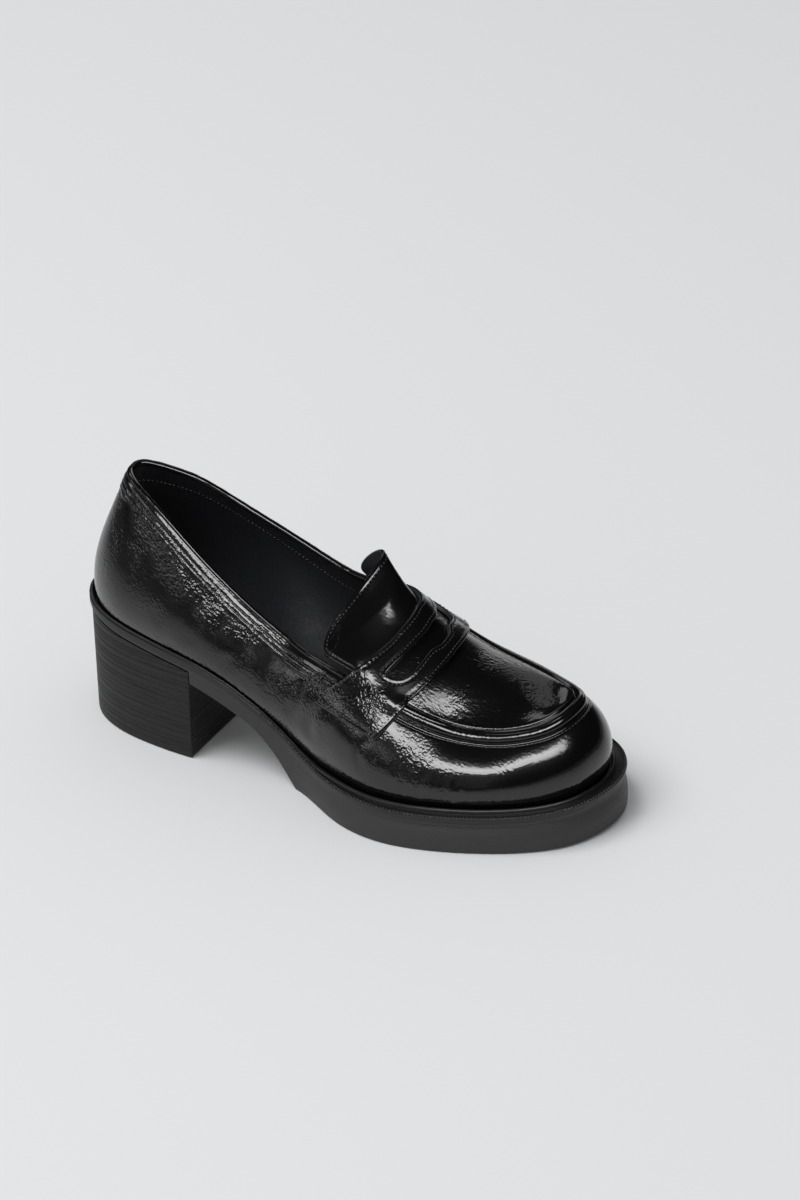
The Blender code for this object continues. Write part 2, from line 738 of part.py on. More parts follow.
def saddle_strap(look):
    """Strap laid over instep and walls, with its slot cut through."""
    outer = np.linspace(-STRAP_END, -SLOT_END - 0.07, 9)
    inner = -SLOT_END * np.array([1.0, 0.985, 0.93, 0.84, 0.72, 0.58, 0.44, 0.32, 0.21, 0.10, 0.0])
    half = np.concatenate([outer, inner])
    places = np.concatenate([half, -half[-2::-1]])
    rear, front = strap_curve(STRAP_ROWS, 1, places), strap_curve(STRAP_ROWS, 2, places)
    inside = np.abs(places) < SLOT_END + 1e-9
    slot_rear, slot_front = strap_curve(SLOT_ROWS, 1, places), strap_curve(SLOT_ROWS, 2, places)
    slant = STRAP_END_SLANT * smooth_step(np.abs(places), SLOT_END, STRAP_END) * np.sign(places)
    shares = [np.zeros_like(places), slot_rear * 0.5, slot_rear, slot_front,
              (slot_front + 1.0) / 2.0, np.ones_like(places)]
    columns = len(places)
    spots = np.concatenate([np.stack([rear + (front - rear) * share, places + slant * share], axis=1)
                            for share in shares])
    base = last_point(spots[:, 0], spots[:, 1])
    faces = []
    for r in range(len(shares) - 1):
        for c in range(columns - 1):
            if r == 2 and inside[c] and inside[c + 1]:
                continue
            i = r * columns + c
            faces.append((i, i + columns, i + columns + 1, i + 1))
    solid, sides = sheet_body(base, faces, STRAP_GAP + STRAP_THICKNESS, -STRAP_GAP)
    return add_object("saddle_strap", solid, sides, look)


def topline_binding(look):
    """Rolled binding along the collar's edge from one end of the strap to the other."""
    turns = np.linspace(-BINDING_END, BINDING_END, 61)
    edge = wall_frame(turns)[3]
    way = brow(turns)
    along = np.gradient(edge, axis=0)
    along /= np.linalg.norm(along, axis=1)[:, None]
    side = np.cross(along, way)
    side /= np.linalg.norm(side, axis=1)[:, None]
    inward = np.where((np.einsum("ij,ij->i", side, outward(turns)) > 0)[:, None], -side, side)
    middle = edge + inward * WALL / 2.0 + way * (BINDING_RADIUS + FIT_GAP)
    sides = 8
    rings = []
    for k in range(sides):
        angle = 2.0 * math.pi * (k + 0.5) / sides
        rings.append(middle + BINDING_RADIUS * (math.cos(angle) * inward + math.sin(angle) * way))
    points = np.vstack(rings)
    count = len(turns)
    faces = []
    for k in range(sides):
        m = (k + 1) % sides
        for i in range(count - 1):
            faces.append((k * count + i, k * count + i + 1, m * count + i + 1, m * count + i))
    faces.append(tuple(k * count for k in range(sides)))
    faces.append(tuple(k * count + count - 1 for k in reversed(range(sides))))
    return add_object("topline_binding", points, faces, look)


def build():
    for old in list(bpy.data.objects):
        bpy.data.objects.remove(old, do_unlink=True)
    rubber = material("sole_rubber", (0.018, 0.018, 0.020), 0.55, 0.0)
    stack = material("heel_stack", (0.022, 0.022, 0.024), 0.50, 0.0)
    welt_rubber = material("welt_rubber", (0.016, 0.016, 0.018), 0.40, 0.0)
    patent = material("patent_leather", (0.012, 0.012, 0.014), 0.20, 1.0)
    lining = material("lining_leather", (0.020, 0.020, 0.022), 0.70, 0.0)
    outsole(rubber)
    heel(stack)
    welt(welt_rubber)
    insole(lining)
    upper(patent)
    tongue(patent)
    saddle_strap(patent)
    topline_binding(patent)


build()
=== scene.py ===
import math

import bmesh
import bpy
import numpy as np
from mathutils import Matrix, Vector


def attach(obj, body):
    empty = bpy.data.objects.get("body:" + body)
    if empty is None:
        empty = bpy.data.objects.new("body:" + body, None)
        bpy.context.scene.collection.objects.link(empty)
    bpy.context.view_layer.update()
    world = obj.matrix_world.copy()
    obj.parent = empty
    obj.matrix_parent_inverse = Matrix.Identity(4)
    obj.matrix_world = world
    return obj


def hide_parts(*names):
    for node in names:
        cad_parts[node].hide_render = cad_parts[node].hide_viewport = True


# Heeled penny loafer in black crinkled patent leather, right shoe.
# +X heel to toe, +Y medial side, metres. A turn runs 0 at the heel, lateral side, 15 at the toe,
# medial side, 30 at the heel again. A place runs across the instep, -1 and 1 at the apron's seam.

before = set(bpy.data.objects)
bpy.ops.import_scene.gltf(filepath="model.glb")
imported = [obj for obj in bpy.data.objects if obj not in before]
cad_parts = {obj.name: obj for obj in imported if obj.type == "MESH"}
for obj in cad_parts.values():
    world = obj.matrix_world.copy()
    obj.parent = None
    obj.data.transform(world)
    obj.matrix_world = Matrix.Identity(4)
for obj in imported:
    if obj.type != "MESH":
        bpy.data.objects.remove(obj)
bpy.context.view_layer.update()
print("frame loaded,", len(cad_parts), "nodes")

mm = 0.001

last = {
    "soleLength": 0.2512,
    "ballWidth": 0.093,
    "forepart": 0.0142,
    "heelLift": 0.042,
    "backHeight": 0.0645,
    "toeSpring": 0.0036,
    "treadSpring": 0.0012,
    "springStart": 0.78,
    "wall": 0.0022,
    "fitGap": 0.0003,
    "seatThickness": 0.0025,
    "weltThickness": 0.0028,
    "beadRise": 0.0016,
    "seamWidth": 0.0060,
    "browPlace": 0.10,
    "browPull": 0.18,
    "crownPull": 0.36,
}

# lateral along, lateral across, medial along, medial across, welt width
outlineRows = [
    (0.000, 0.161, 0.000, 0.161, 0.035),
    (0.016, 0.022, 0.016, 0.296, 0.035),
    (0.050, -0.081, 0.048, 0.382, 0.033),
    (0.102, -0.156, 0.098, 0.425, 0.032),
    (0.170, -0.204, 0.170, 0.435, 0.032),
    (0.250, -0.231, 0.273, 0.403, 0.032),
    (0.337, -0.231, 0.353, 0.333, 0.034),
    (0.417, -0.237, 0.433, 0.317, 0.039),
    (0.489, -0.312, 0.513, 0.360, 0.052),
    (0.565, -0.425, 0.597, 0.435, 0.066),
    (0.649, -0.486, 0.689, 0.495, 0.076),
    (0.744, -0.457, 0.776, 0.516, 0.081),
    (0.836, -0.376, 0.852, 0.505, 0.086),
    (0.912, -0.269, 0.916, 0.468, 0.087),
    (0.970, -0.113, 0.970, 0.360, 0.090),
    (1.000, 0.134, 1.000, 0.134, 0.094),
]

# lateral along, across, height, medial along, across, height
topRows = [
    (0.088, 0.113, 0.972, 0.088, 0.113, 0.972),
    (0.093, 0.055, 0.973, 0.093, 0.171, 0.973),
    (0.116, -0.013, 0.964, 0.116, 0.212, 0.964),
    (0.151, -0.048, 0.920, 0.154, 0.247, 0.938),
    (0.197, -0.078, 0.845, 0.198, 0.285, 0.894),
    (0.258, -0.096, 0.721, 0.254, 0.335, 0.806),
    (0.328, -0.102, 0.587, 0.325, 0.364, 0.713),
    (0.394, -0.119, 0.489, 0.397, 0.375, 0.628),
    (0.462, -0.161, 0.424, 0.469, 0.366, 0.564),
    (0.544, -0.251, 0.413, 0.540, 0.372, 0.521),
    (0.661, -0.269, 0.316, 0.675, 0.396, 0.384),
    (0.739, -0.215, 0.246, 0.749, 0.396, 0.325),
    (0.808, -0.167, 0.234, 0.812, 0.372, 0.302),
    (0.868, -0.108, 0.257, 0.865, 0.328, 0.290),
    (0.908, -0.016, 0.288, 0.908, 0.247, 0.298),
    (0.926, 0.134, 0.311, 0.926, 0.134, 0.311),
]

# lateral swell, medial swell, rise of it, lean at the top, drop of it
wallRows = [
    (0.038, 0.038, 0.33, 0.085, 0.30),
    (0.043, 0.043, 0.33, 0.090, 0.30),
    (0.062, 0.056, 0.32, 0.098, 0.30),
    (0.084, 0.070, 0.30, 0.108, 0.30),
    (0.088, 0.080, 0.29, 0.115, 0.31),
    (0.086, 0.086, 0.28, 0.122, 0.32),
    (0.080, 0.086, 0.28, 0.126, 0.33),
    (0.078, 0.082, 0.30, 0.126, 0.34),
    (0.078, 0.078, 0.33, 0.120, 0.33),
    (0.076, 0.070, 0.38, 0.110, 0.29),
    (0.066, 0.060, 0.44, 0.104, 0.22),
    (0.064, 0.054, 0.46, 0.104, 0.18),
    (0.066, 0.052, 0.46, 0.098, 0.17),
    (0.070, 0.058, 0.46, 0.092, 0.17),
    (0.074, 0.068, 0.46, 0.088, 0.18),
    (0.076, 0.076, 0.46, 0.088, 0.18),
]

# along, across, height on the middle of the instep, from the section crownFirst on
crownFirst = 8
crownRows = [
    (0.547, 0.183, 0.792),
    (0.617, 0.140, 0.602),
    (0.697, 0.108, 0.456),
    (0.760, 0.086, 0.386),
    (0.820, 0.086, 0.339),
    (0.858, 0.090, 0.318),
    (0.890, 0.108, 0.312),
    (0.926, 0.134, 0.311),
]

# along, share of the heel lift
seatRows = [
    (0.000, 1.000), (0.066, 0.962), (0.166, 0.893), (0.250, 0.800), (0.313, 0.655),
    (0.369, 0.452), (0.425, 0.233), (0.473, 0.076), (0.525, 0.004), (0.605, 0.000),
    (1.000, 0.000),
]

# the same for the sole's underside in front of the heel
shankRows = [
    (0.240, 0.960), (0.290, 0.840), (0.341, 0.679), (0.373, 0.545), (0.412, 0.305),
    (0.440, 0.100), (0.455, 0.000),
]

toeSection = len(outlineRows) - 1
loopCount = 2 * toeSection
baseHeight = last["forepart"] + last["weltThickness"] + last["beadRise"]
collarRise = last["heelLift"] + last["backHeight"]


# The last's curves

def closedTangents(points):
    count = len(points)
    matrix = 4.0 * np.eye(count)
    for i in range(count):
        matrix[i, (i + 1) % count] += 1.0
        matrix[i, (i - 1) % count] += 1.0
    sides = 3.0 * (np.roll(points, -1, axis=0) - np.roll(points, 1, axis=0))
    return np.linalg.solve(matrix, sides)


def openTangents(points):
    count = len(points)
    matrix = 4.0 * np.eye(count)
    sides = np.zeros_like(points)
    matrix[0, 0] = matrix[-1, -1] = 2.0
    for i in range(count):
        before, after = max(i - 1, 0), min(i + 1, count - 1)
        if i > 0:
            matrix[i, before] = 1.0
        if i < count - 1:
            matrix[i, after] = 1.0
        sides[i] = 3.0 * (points[after] - points[before])
    return np.linalg.solve(matrix, sides)


def cubicWeights(share):
    square, cube = share ** 2, share ** 3
    return 2 * cube - 3 * square + 1, cube - 2 * square + share, 3 * square - 2 * cube, cube - square


def hermite(points, tangents, place, closed):
    place = np.atleast_1d(np.asarray(place, float))
    count = len(points)
    start = np.floor(place).astype(int)
    if not closed:
        start = np.clip(start, 0, count - 2)
    a, b, c, d = cubicWeights((place - start)[:, None])
    start, after = start % count, (start + 1) % count
    return a * points[start] + b * tangents[start] + c * points[after] + d * tangents[after]


def smoothStep(value, low, high):
    share = np.clip((value - low) / (high - low), 0.0, 1.0)
    return share * share * (3.0 - 2.0 * share)


def rowCurve(rows, along):
    # a smooth line through the rows that never overshoots them
    table = np.array(rows)
    xs, ys = table[:, 0], table[:, 1]
    steps = np.diff(xs)
    slopes = np.diff(ys) / steps
    tangents = np.zeros(len(xs))
    for i in range(1, len(xs) - 1):
        if slopes[i - 1] * slopes[i] > 0:
            ahead, behind = 2 * steps[i] + steps[i - 1], steps[i] + 2 * steps[i - 1]
            tangents[i] = (ahead + behind) / (ahead / slopes[i - 1] + behind / slopes[i])
    tangents[0], tangents[-1] = slopes[0], slopes[-1]
    along = np.clip(np.asarray(along, float), xs[0], xs[-1])
    spot = np.clip(np.searchsorted(xs, along, side="right") - 1, 0, len(xs) - 2)
    step = steps[spot]
    a, b, c, d = cubicWeights((along - xs[spot]) / step)
    return (a * ys[spot] + b * step * tangents[spot]
            + c * ys[spot + 1] + d * step * tangents[spot + 1])


def closedRows():
    sides = ([], [])
    for outline, top, wall in zip(outlineRows, topRows, wallRows):
        shared = (outline[4] * last["ballWidth"], wall[2], wall[3] * last["ballWidth"], wall[4])
        for side, store in enumerate(sides):
            o, t = 2 * side, 3 * side
            store.append((outline[o] * last["soleLength"], outline[o + 1] * last["ballWidth"],
                          top[t] * last["soleLength"], top[t + 1] * last["ballWidth"],
                          baseHeight + top[t + 2] * collarRise, wall[side] * last["ballWidth"]) + shared)
    return np.array(sides[0] + sides[1][-2:0:-1])


loopRows = closedRows()
loopTangents = closedTangents(loopRows)


def loopValues(turn):
    return hermite(loopRows, loopTangents, turn, True)


def unit(vectors):
    return vectors / np.maximum(np.linalg.norm(vectors, axis=1), 1e-12)[:, None]


def outward(turn):
    tangent = loopValues(turn + 0.01)[:, :2] - loopValues(turn - 0.01)[:, :2]
    tangent /= np.linalg.norm(tangent, axis=1)[:, None]
    return np.stack([tangent[:, 1], -tangent[:, 0], np.zeros(len(tangent))], axis=1)


def sectionOf(turn):
    return np.minimum(turn % loopCount, loopCount - turn % loopCount)


def springAt(along):
    return np.clip((along - last["springStart"]) / (1.0 - last["springStart"]), 0.0, 1.0) ** 2


def seatHeight(x):
    along = x / last["soleLength"]
    return (last["forepart"] + last["heelLift"] * rowCurve(seatRows, along)
            + last["toeSpring"] * springAt(along))


def groundHeight(x, behindBreast):
    along = x / last["soleLength"]
    front = last["heelLift"] * rowCurve(shankRows, along) + last["treadSpring"] * springAt(along)
    seat = seatHeight(x) - last["seatThickness"]
    return np.where(behindBreast, seat, np.minimum(front, seat))


def rimEdge(turn, inset):
    values = loopValues(turn)
    edge = np.column_stack([values[:, :2], np.zeros(len(values))])
    return edge - outward(turn) * np.broadcast_to(np.asarray(inset, float), len(values))[:, None]


def wallFrame(turn):
    values = loopValues(turn)
    foot = rimEdge(turn, values[:, 6])
    foot[:, 2] = seatHeight(foot[:, 0]) + last["fitGap"]
    top = values[:, 2:5].copy()
    normal = outward(turn)
    height = (top[:, 2] - foot[:, 2])[:, None]
    up = np.array([0.0, 0.0, 1.0])
    low = foot + normal * values[:, 5:6] + up * height * values[:, 7:8]
    high = top + normal * values[:, 8:9] - up * height * values[:, 9:10]
    return foot, low, high, top


def bezier(p0, p1, p2, p3, share):
    share = np.asarray(share, float)[:, None]
    rest = 1.0 - share
    return rest ** 3 * p0 + 3 * rest ** 2 * share * p1 + 3 * rest * share ** 2 * p2 + share ** 3 * p3


def brow(turn):
    _, _, high, top = wallFrame(turn)
    return unit(top - high)


crown = np.array([(a * last["soleLength"], b * last["ballWidth"], baseHeight + c * collarRise)
                  for a, b, c in crownRows])
crown[-1] = loopRows[toeSection, 2:5] + brow(np.array([float(toeSection)]))[0] * last["seamWidth"]
crownTangents = openTangents(crown)


def sideTurn(section, medial):
    return np.where(medial, loopCount - section, section)


def instepPoint(section, across):
    # across runs from -1 at the lateral seam to 1 at the medial one
    section, across = np.asarray(section, float), np.asarray(across, float)
    medial = across > 0
    turn = sideTurn(section, medial)
    start = wallFrame(turn)[3] + brow(turn) * last["seamWidth"]
    middle = hermite(crown, crownTangents, section - crownFirst, False)
    chord = unit(wallFrame(sideTurn(section, ~medial))[3] - wallFrame(turn)[3])
    reach = np.linalg.norm(middle - start, axis=1)[:, None]
    low = start + brow(turn) * reach * last["browPull"]
    high = middle - chord * reach * last["crownPull"]
    return bezier(start, low, high, middle, 1.0 - np.abs(across))


def lastPoint(section, place):
    # place is -2 at the lateral sole edge, -1 to 1 over the instep, 2 at the medial sole edge
    section, place = np.asarray(section, float), np.asarray(place, float)
    turn = sideTurn(section, place > 0)
    depth = np.abs(place)
    edge = last["browPlace"]
    wall = bezier(*wallFrame(turn), np.clip(2.0 - depth, 0.0, 1.0))
    band = (np.clip(1.0 - depth, 0.0, edge) / edge * last["seamWidth"])[:, None]
    slope = wallFrame(turn)[3] + brow(turn) * band
    instep = instepPoint(section, np.sign(place) * np.clip(depth / (1.0 - edge), 0.0, 1.0))
    point = np.where((depth >= 1.0)[:, None], wall, slope)
    return np.where((depth < 1.0 - edge)[:, None], instep, point)


def wallAt(turns, distance):
    # point on the wall at a distance below its top edge, measured along the wall
    turns = np.asarray(turns, float)
    distance = np.broadcast_to(np.asarray(distance, float), len(turns))
    controls = wallFrame(turns)
    shares = np.linspace(1.0, 0.0, 61)
    line = np.stack([bezier(*controls, np.full(len(turns), share)) for share in shares])
    run = np.concatenate([np.zeros((1, len(turns))),
                          np.cumsum(np.linalg.norm(np.diff(line, axis=0), axis=2), axis=0)])
    picked = np.array([np.interp(distance[i], run[:, i], shares) for i in range(len(turns))])
    return bezier(*controls, picked), run[-1]


def surfaceNormal(surface, first, second, step=(0.02, 0.01)):
    alongFirst = surface(first + step[0], second) - surface(first - step[0], second)
    alongSecond = surface(first, second + step[1]) - surface(first, second - step[1])
    return unit(np.cross(alongFirst, alongSecond))


def spaced(start, end, count, ease):
    share = np.linspace(0.0, 1.0, count)
    eased = 0.5 - 0.5 * np.cos(math.pi * share)
    return start + (end - start) * ((1.0 - ease) * share + ease * eased)


soleSide = {
    "rimInset": 0.3 * mm,
    "sideInset": 1.0 * mm,
    "flare": 2.2 * mm,
    "flareStart": (7.4, 9.2),
}


def flareOf(turn):
    return soleSide["flare"] * smoothStep(sectionOf(turn), *soleSide["flareStart"])


def outlineCentre():
    turns = np.linspace(0, loopCount, 721)
    edge = rimEdge(turns, np.minimum(soleSide["sideInset"] - flareOf(turns), 0.0))[:, :2]
    return (edge.min(axis=0) + edge.max(axis=0)) / 2.0


centre = outlineCentre()
centre3 = np.array([centre[0], centre[1], 0.0])
breast = 5.0   # where the heel ends under the sole
throat = 9.30  # the apron's rear edge, hidden by the strap


def denseSections():
    return np.concatenate([spaced(0.0, breast, 72, 0.2), spaced(breast, throat, 66, 0.0)[1:],
                           spaced(throat, toeSection, 150, 0.22)[1:]])


def roundTurns(half):
    # the same sections down the lateral side and back up the medial one
    return np.concatenate([half, loopCount - half[-2:0:-1]])


# Mesh helpers

def meshPiece(name, points, faces, looks, faceLooks=None, sharp=40, fields=None):
    mesh = bpy.data.meshes.new(name)
    placed = np.asarray(points, float) - centre3
    mesh.from_pydata(placed.tolist(), [], [tuple(int(i) for i in face) for face in faces])
    for look in looks:
        mesh.materials.append(look)
    if faceLooks is not None:
        mesh.polygons.foreach_set("material_index", np.asarray(faceLooks, np.int32))
    for field, values in (fields or {}).items():
        layer = mesh.attributes.new(field, "FLOAT", "POINT")
        layer.data.foreach_set("value", np.asarray(values, np.float32))
    body = bmesh.new()
    body.from_mesh(mesh)
    bmesh.ops.remove_doubles(body, verts=body.verts, dist=2e-6)
    bmesh.ops.dissolve_degenerate(body, edges=body.edges, dist=1e-7)
    bmesh.ops.recalc_face_normals(body, faces=body.faces)
    body.to_mesh(mesh)
    body.free()
    mesh.shade_smooth()
    mesh.set_sharp_from_angle(angle=math.radians(sharp))
    piece = bpy.data.objects.new(name, mesh)
    bpy.context.scene.collection.objects.link(piece)
    return piece


def gridNormals(points, faces):
    quads = np.array([face if len(face) == 4 else (*face, face[2]) for face in faces])
    corners = points[quads]
    area = np.cross(corners[:, 2] - corners[:, 0], corners[:, 3] - corners[:, 1])
    normals = np.zeros_like(points)
    for column in range(4):
        np.add.at(normals, quads[:, column], area)
    return unit(normals)


def openEdges(faces):
    used = {}
    for face in faces:
        for i in range(len(face)):
            used[(face[i], face[(i + 1) % len(face)])] = True
    return [(a, b) for a, b in used if (b, a) not in used]


def gridFaces(rows, columns, skipped=None):
    faces = []
    for r in range(rows - 1):
        for c in range(columns - 1):
            if skipped is None or not skipped[r, c]:
                i = r * columns + c
                faces.append((i, i + columns, i + columns + 1, i + 1))
    return faces


def lineFaces(lines, flipped=False):
    # faces between neighbouring lines of point numbers, with three corners where lines meet
    faces = []
    for a, b in zip(lines[:-1], lines[1:]):
        for c in range(len(a) - 1):
            face = (a[c], b[c], b[c + 1], a[c + 1]) if flipped else (a[c], a[c + 1], b[c + 1], b[c])
            face = tuple(dict.fromkeys(face))
            if len(face) > 2:
                faces.append(face)
    return faces


def fillRing(points, start, count, columns, heightOf):
    # closes a ring by lines from its lateral half to its medial half, added to the points
    lines = []
    share = np.linspace(0.0, 1.0, columns + 1)[1:-1, None]
    for i in range(count // 2 + 1):
        firstAt, secondAt = start + i, start + (count - i) % count
        if firstAt == secondAt:
            lines.append([firstAt] * (columns + 1))
            continue
        line = points[firstAt] + (points[secondAt] - points[firstAt]) * share
        line[:, 2] = heightOf(line[:, 0], i)
        lines.append([firstAt, *range(len(points), len(points) + len(line)), secondAt])
        points.extend(line)
    return lineFaces(lines)


def loopFaces(rings, count, closedRings):
    faces = []
    for a in range(rings if closedRings else rings - 1):
        b = (a + 1) % rings
        for i in range(count):
            j = (i + 1) % count
            faces.append((a * count + i, a * count + j, b * count + j, b * count + i))
    return faces


def sheetBody(points, faces, lift, drop):
    # two faces of a sheet, lift outside the points and drop inside them, closed at the edges
    normals = gridNormals(points, faces)
    outer = points + normals * np.broadcast_to(lift, len(points))[:, None]
    inner = points - normals * np.broadcast_to(drop, len(points))[:, None]
    count = len(points)
    sides = [(b, a, a + count, b + count) for a, b in openEdges(faces)]
    flipped = [tuple(i + count for i in reversed(face)) for face in faces]
    return np.vstack([outer, inner]), list(faces), flipped, sides


def edgeDistance(points, faces):
    # distance of each point of a sheet from its nearest free edge
    edges = np.array(openEdges(faces))
    start, end = points[edges[:, 0]], points[edges[:, 1]]
    along = end - start
    size = np.maximum(np.einsum("ij,ij->i", along, along), 1e-18)
    nearest = np.full(len(points), 1.0)
    for block in np.array_split(np.arange(len(points)), max(1, len(points) // 400)):
        offset = points[block][:, None, :] - start[None]
        share = np.clip(np.einsum("ijk,jk->ij", offset, along) / size, 0.0, 1.0)
        gap = np.linalg.norm(offset - share[..., None] * along[None], axis=2)
        nearest[block] = gap.min(axis=1)
    return nearest


def lowWaves(points, seed, wave, count=9):
    # a mild uneven swell of the leather, from -1 to 1 or so
    rng = np.random.default_rng(seed)
    total = np.zeros(len(points))
    for _ in range(count):
        heading = unit(rng.normal(size=(1, 3)))[0]
        total += np.sin(points @ heading * 2 * math.pi / (wave * rng.uniform(0.7, 1.5))
                        + rng.uniform(0, 2 * math.pi))
    return total / math.sqrt(count)


def groove(distance, centreAt, halfWidth):
    return np.exp(-((distance - centreAt) / halfWidth) ** 2)


def roll(distance, centreAt, halfWidth):
    return np.sqrt(np.clip(1.0 - ((distance - centreAt) / halfWidth) ** 2, 0.0, 1.0))


# Materials

def newLook(name, colour, roughness, **values):
    look = bpy.data.materials.new(name)
    look.use_nodes = True
    shader = look.node_tree.nodes["Principled BSDF"]
    shader.inputs["Base Color"].default_value = (*colour, 1.0)
    shader.inputs["Roughness"].default_value = roughness
    for socket, value in values.items():
        shader.inputs[socket.replace("_", " ")].default_value = value
    look.diffuse_color = (*colour, 1.0)
    return look, shader


def addNode(look, kind, **values):
    node = look.node_tree.nodes.new(kind)
    for key, value in values.items():
        if hasattr(node, key):
            setattr(node, key, value)
        else:
            node.inputs[key.replace("_", " ")].default_value = value
    return node


def join(look, source, target):
    look.node_tree.links.new(source, target)


def objectCoords(look, stretch=(1.0, 1.0, 1.0), turned=(0.0, 0.0, 0.0), kind="POINT"):
    coords = addNode(look, "ShaderNodeTexCoord")
    mapping = addNode(look, "ShaderNodeMapping", Scale=stretch, Rotation=turned, vector_type=kind)
    join(look, coords.outputs["Object"], mapping.inputs["Vector"])
    return mapping.outputs["Vector"]


def noiseOn(look, coords, scale, detail=2.0, roughness=0.5, distortion=0.0):
    node = addNode(look, "ShaderNodeTexNoise", Scale=scale, Detail=detail, Roughness=roughness,
                   Distortion=distortion)
    join(look, coords, node.inputs["Vector"])
    return node.outputs["Fac"]


def bumpOn(look, height, distance, strength=1.0, before=None, strengthLink=None):
    node = addNode(look, "ShaderNodeBump", Distance=distance, Strength=strength)
    join(look, height, node.inputs["Height"])
    if before is not None:
        join(look, before, node.inputs["Normal"])
    if strengthLink is not None:
        join(look, strengthLink, node.inputs["Strength"])
    return node.outputs["Normal"]


def mathOn(look, operation, first, second):
    node = addNode(look, "ShaderNodeMath", operation=operation)
    for socket, value in zip(node.inputs, (first, second)):
        if isinstance(value, (int, float)):
            socket.default_value = value
        else:
            join(look, value, socket)
    return node.outputs["Value"]


def mapRange(look, value, low, high, outLow, outHigh):
    node = addNode(look, "ShaderNodeMapRange")
    for name, number in (("From Min", low), ("From Max", high), ("To Min", outLow), ("To Max", outHigh)):
        node.inputs[name].default_value = number
    join(look, value, node.inputs["Value"])
    return node.outputs["Result"]


def rampOn(look, value, stops, interpolation="LINEAR"):
    # stops are a place from 0 to 1 and a colour each
    ramp = addNode(look, "ShaderNodeValToRGB")
    ramp.color_ramp.interpolation = interpolation
    elements = ramp.color_ramp.elements
    while len(elements) < len(stops):
        elements.new(0.5)
    for element, (place, colour) in zip(elements, stops):
        element.position = place
        element.color = (*colour, 1.0)
    join(look, value, ramp.inputs["Fac"])
    return ramp.outputs["Color"]


def patentLook():
    look, shader = newLook("crinkledPatent", (0.0034, 0.0034, 0.0038), 0.30, Coat_Weight=1.0,
                           Coat_Roughness=0.045, Coat_IOR=1.55, Specular_IOR_Level=0.08)
    plain = objectCoords(look)
    leaned = objectCoords(look, (1.9, 0.75, 0.62), (0.35, 0.75, 0.4), "TEXTURE")
    amount = addNode(look, "ShaderNodeAttribute", attribute_name="crinkle")
    patches = mapRange(look, noiseOn(look, plain, 75.0, 2.0), 0.38, 0.62, 0.12, 1.0)
    strength = mathOn(look, "MULTIPLY", amount.outputs["Fac"], patches)
    swell = bumpOn(look, noiseOn(look, plain, 150.0, 1.0, 0.5, 0.2), 0.00030, 0.22)
    folds = bumpOn(look, noiseOn(look, leaned, 620.0, 0.6, 0.5, 0.4), 0.00028, 0.5, swell, strength)
    fine = bumpOn(look, noiseOn(look, plain, 1150.0, 0.0, 0.5, 0.0), 0.00012, 0.5, folds, strength)
    for socket in ("Normal", "Coat Normal"):
        join(look, fine, shader.inputs[socket])
    return look


def liningLook():
    look, shader = newLook("liningLeather", (0.0175, 0.0185, 0.0225), 0.46, Coat_Weight=0.0)
    coords = objectCoords(look)
    pores = bumpOn(look, noiseOn(look, coords, 1800.0, 3.0, 0.6), 0.00010, 0.7)
    soft = bumpOn(look, noiseOn(look, coords, 130.0, 2.0), 0.0005, 0.5, pores)
    join(look, soft, shader.inputs["Normal"])
    return look


def insoleLook():
    look, shader = newLook("grainedSock", (0.034, 0.035, 0.038), 0.36, Coat_Weight=0.0)
    coords = objectCoords(look)
    cells = addNode(look, "ShaderNodeTexVoronoi", feature="SMOOTH_F1", Scale=720.0)
    join(look, coords, cells.inputs["Vector"])
    grain = bumpOn(look, cells.outputs["Distance"], 0.00040, 0.9)
    soft = bumpOn(look, noiseOn(look, coords, 420.0, 2.0), 0.00012, 0.5, grain)
    join(look, soft, shader.inputs["Normal"])
    return look


def rubberLook(name, colour, roughness, streak):
    look, shader = newLook(name, colour, roughness, Coat_Weight=0.0)
    lines = objectCoords(look, (1.0, 1.0, 14.0))
    plain = objectCoords(look)
    drawn = bumpOn(look, noiseOn(look, lines, 130.0, 4.0, 0.65), 0.00020, streak)
    grit = bumpOn(look, noiseOn(look, plain, 2100.0, 2.0), 0.00006, 0.6, drawn)
    join(look, grit, shader.inputs["Normal"])
    worn = mapRange(look, noiseOn(look, lines, 90.0, 3.0), 0.3, 0.7, roughness - 0.06, roughness + 0.08)
    join(look, worn, shader.inputs["Roughness"])
    return look


def heelLook():
    look, shader = newLook("stackedHeel", (0.014, 0.014, 0.015), 0.50, Coat_Weight=0.0,
                           Specular_IOR_Level=0.32)
    lines = objectCoords(look, (1.0, 1.0, 26.0))
    plain = objectCoords(look)
    fibre = noiseOn(look, lines, 75.0, 5.0, 0.7, 0.2)
    drawn = bumpOn(look, fibre, 0.00034, 0.75)
    grit = bumpOn(look, noiseOn(look, plain, 1700.0, 2.0), 0.00006, 0.6, drawn)
    join(look, grit, shader.inputs["Normal"])
    tint = rampOn(look, fibre, [(0.36, (0.003, 0.003, 0.0035)), (0.64, (0.013, 0.013, 0.0145))])
    join(look, tint, shader.inputs["Base Color"])
    return look


def threadLook():
    look, shader = newLook("blackThread", (0.030, 0.030, 0.033), 0.30, Coat_Weight=0.6)
    twist = objectCoords(look, (1.0, 1.0, 1.0), (0.6, 0.3, 0.8))
    join(look, bumpOn(look, noiseOn(look, twist, 2600.0, 1.0), 0.00008, 0.7), shader.inputs["Normal"])
    return look


patent = patentLook()
lining = liningLook()
sock = insoleLook()
soleRubber = rubberLook("soleRubber", (0.021, 0.021, 0.0225), 0.46, 0.7)
weltRubber = rubberLook("weltRubber", (0.010, 0.010, 0.011), 0.36, 0.25)
stack = heelLook()
thread = threadLook()
print("materials ready")


# Camera and light

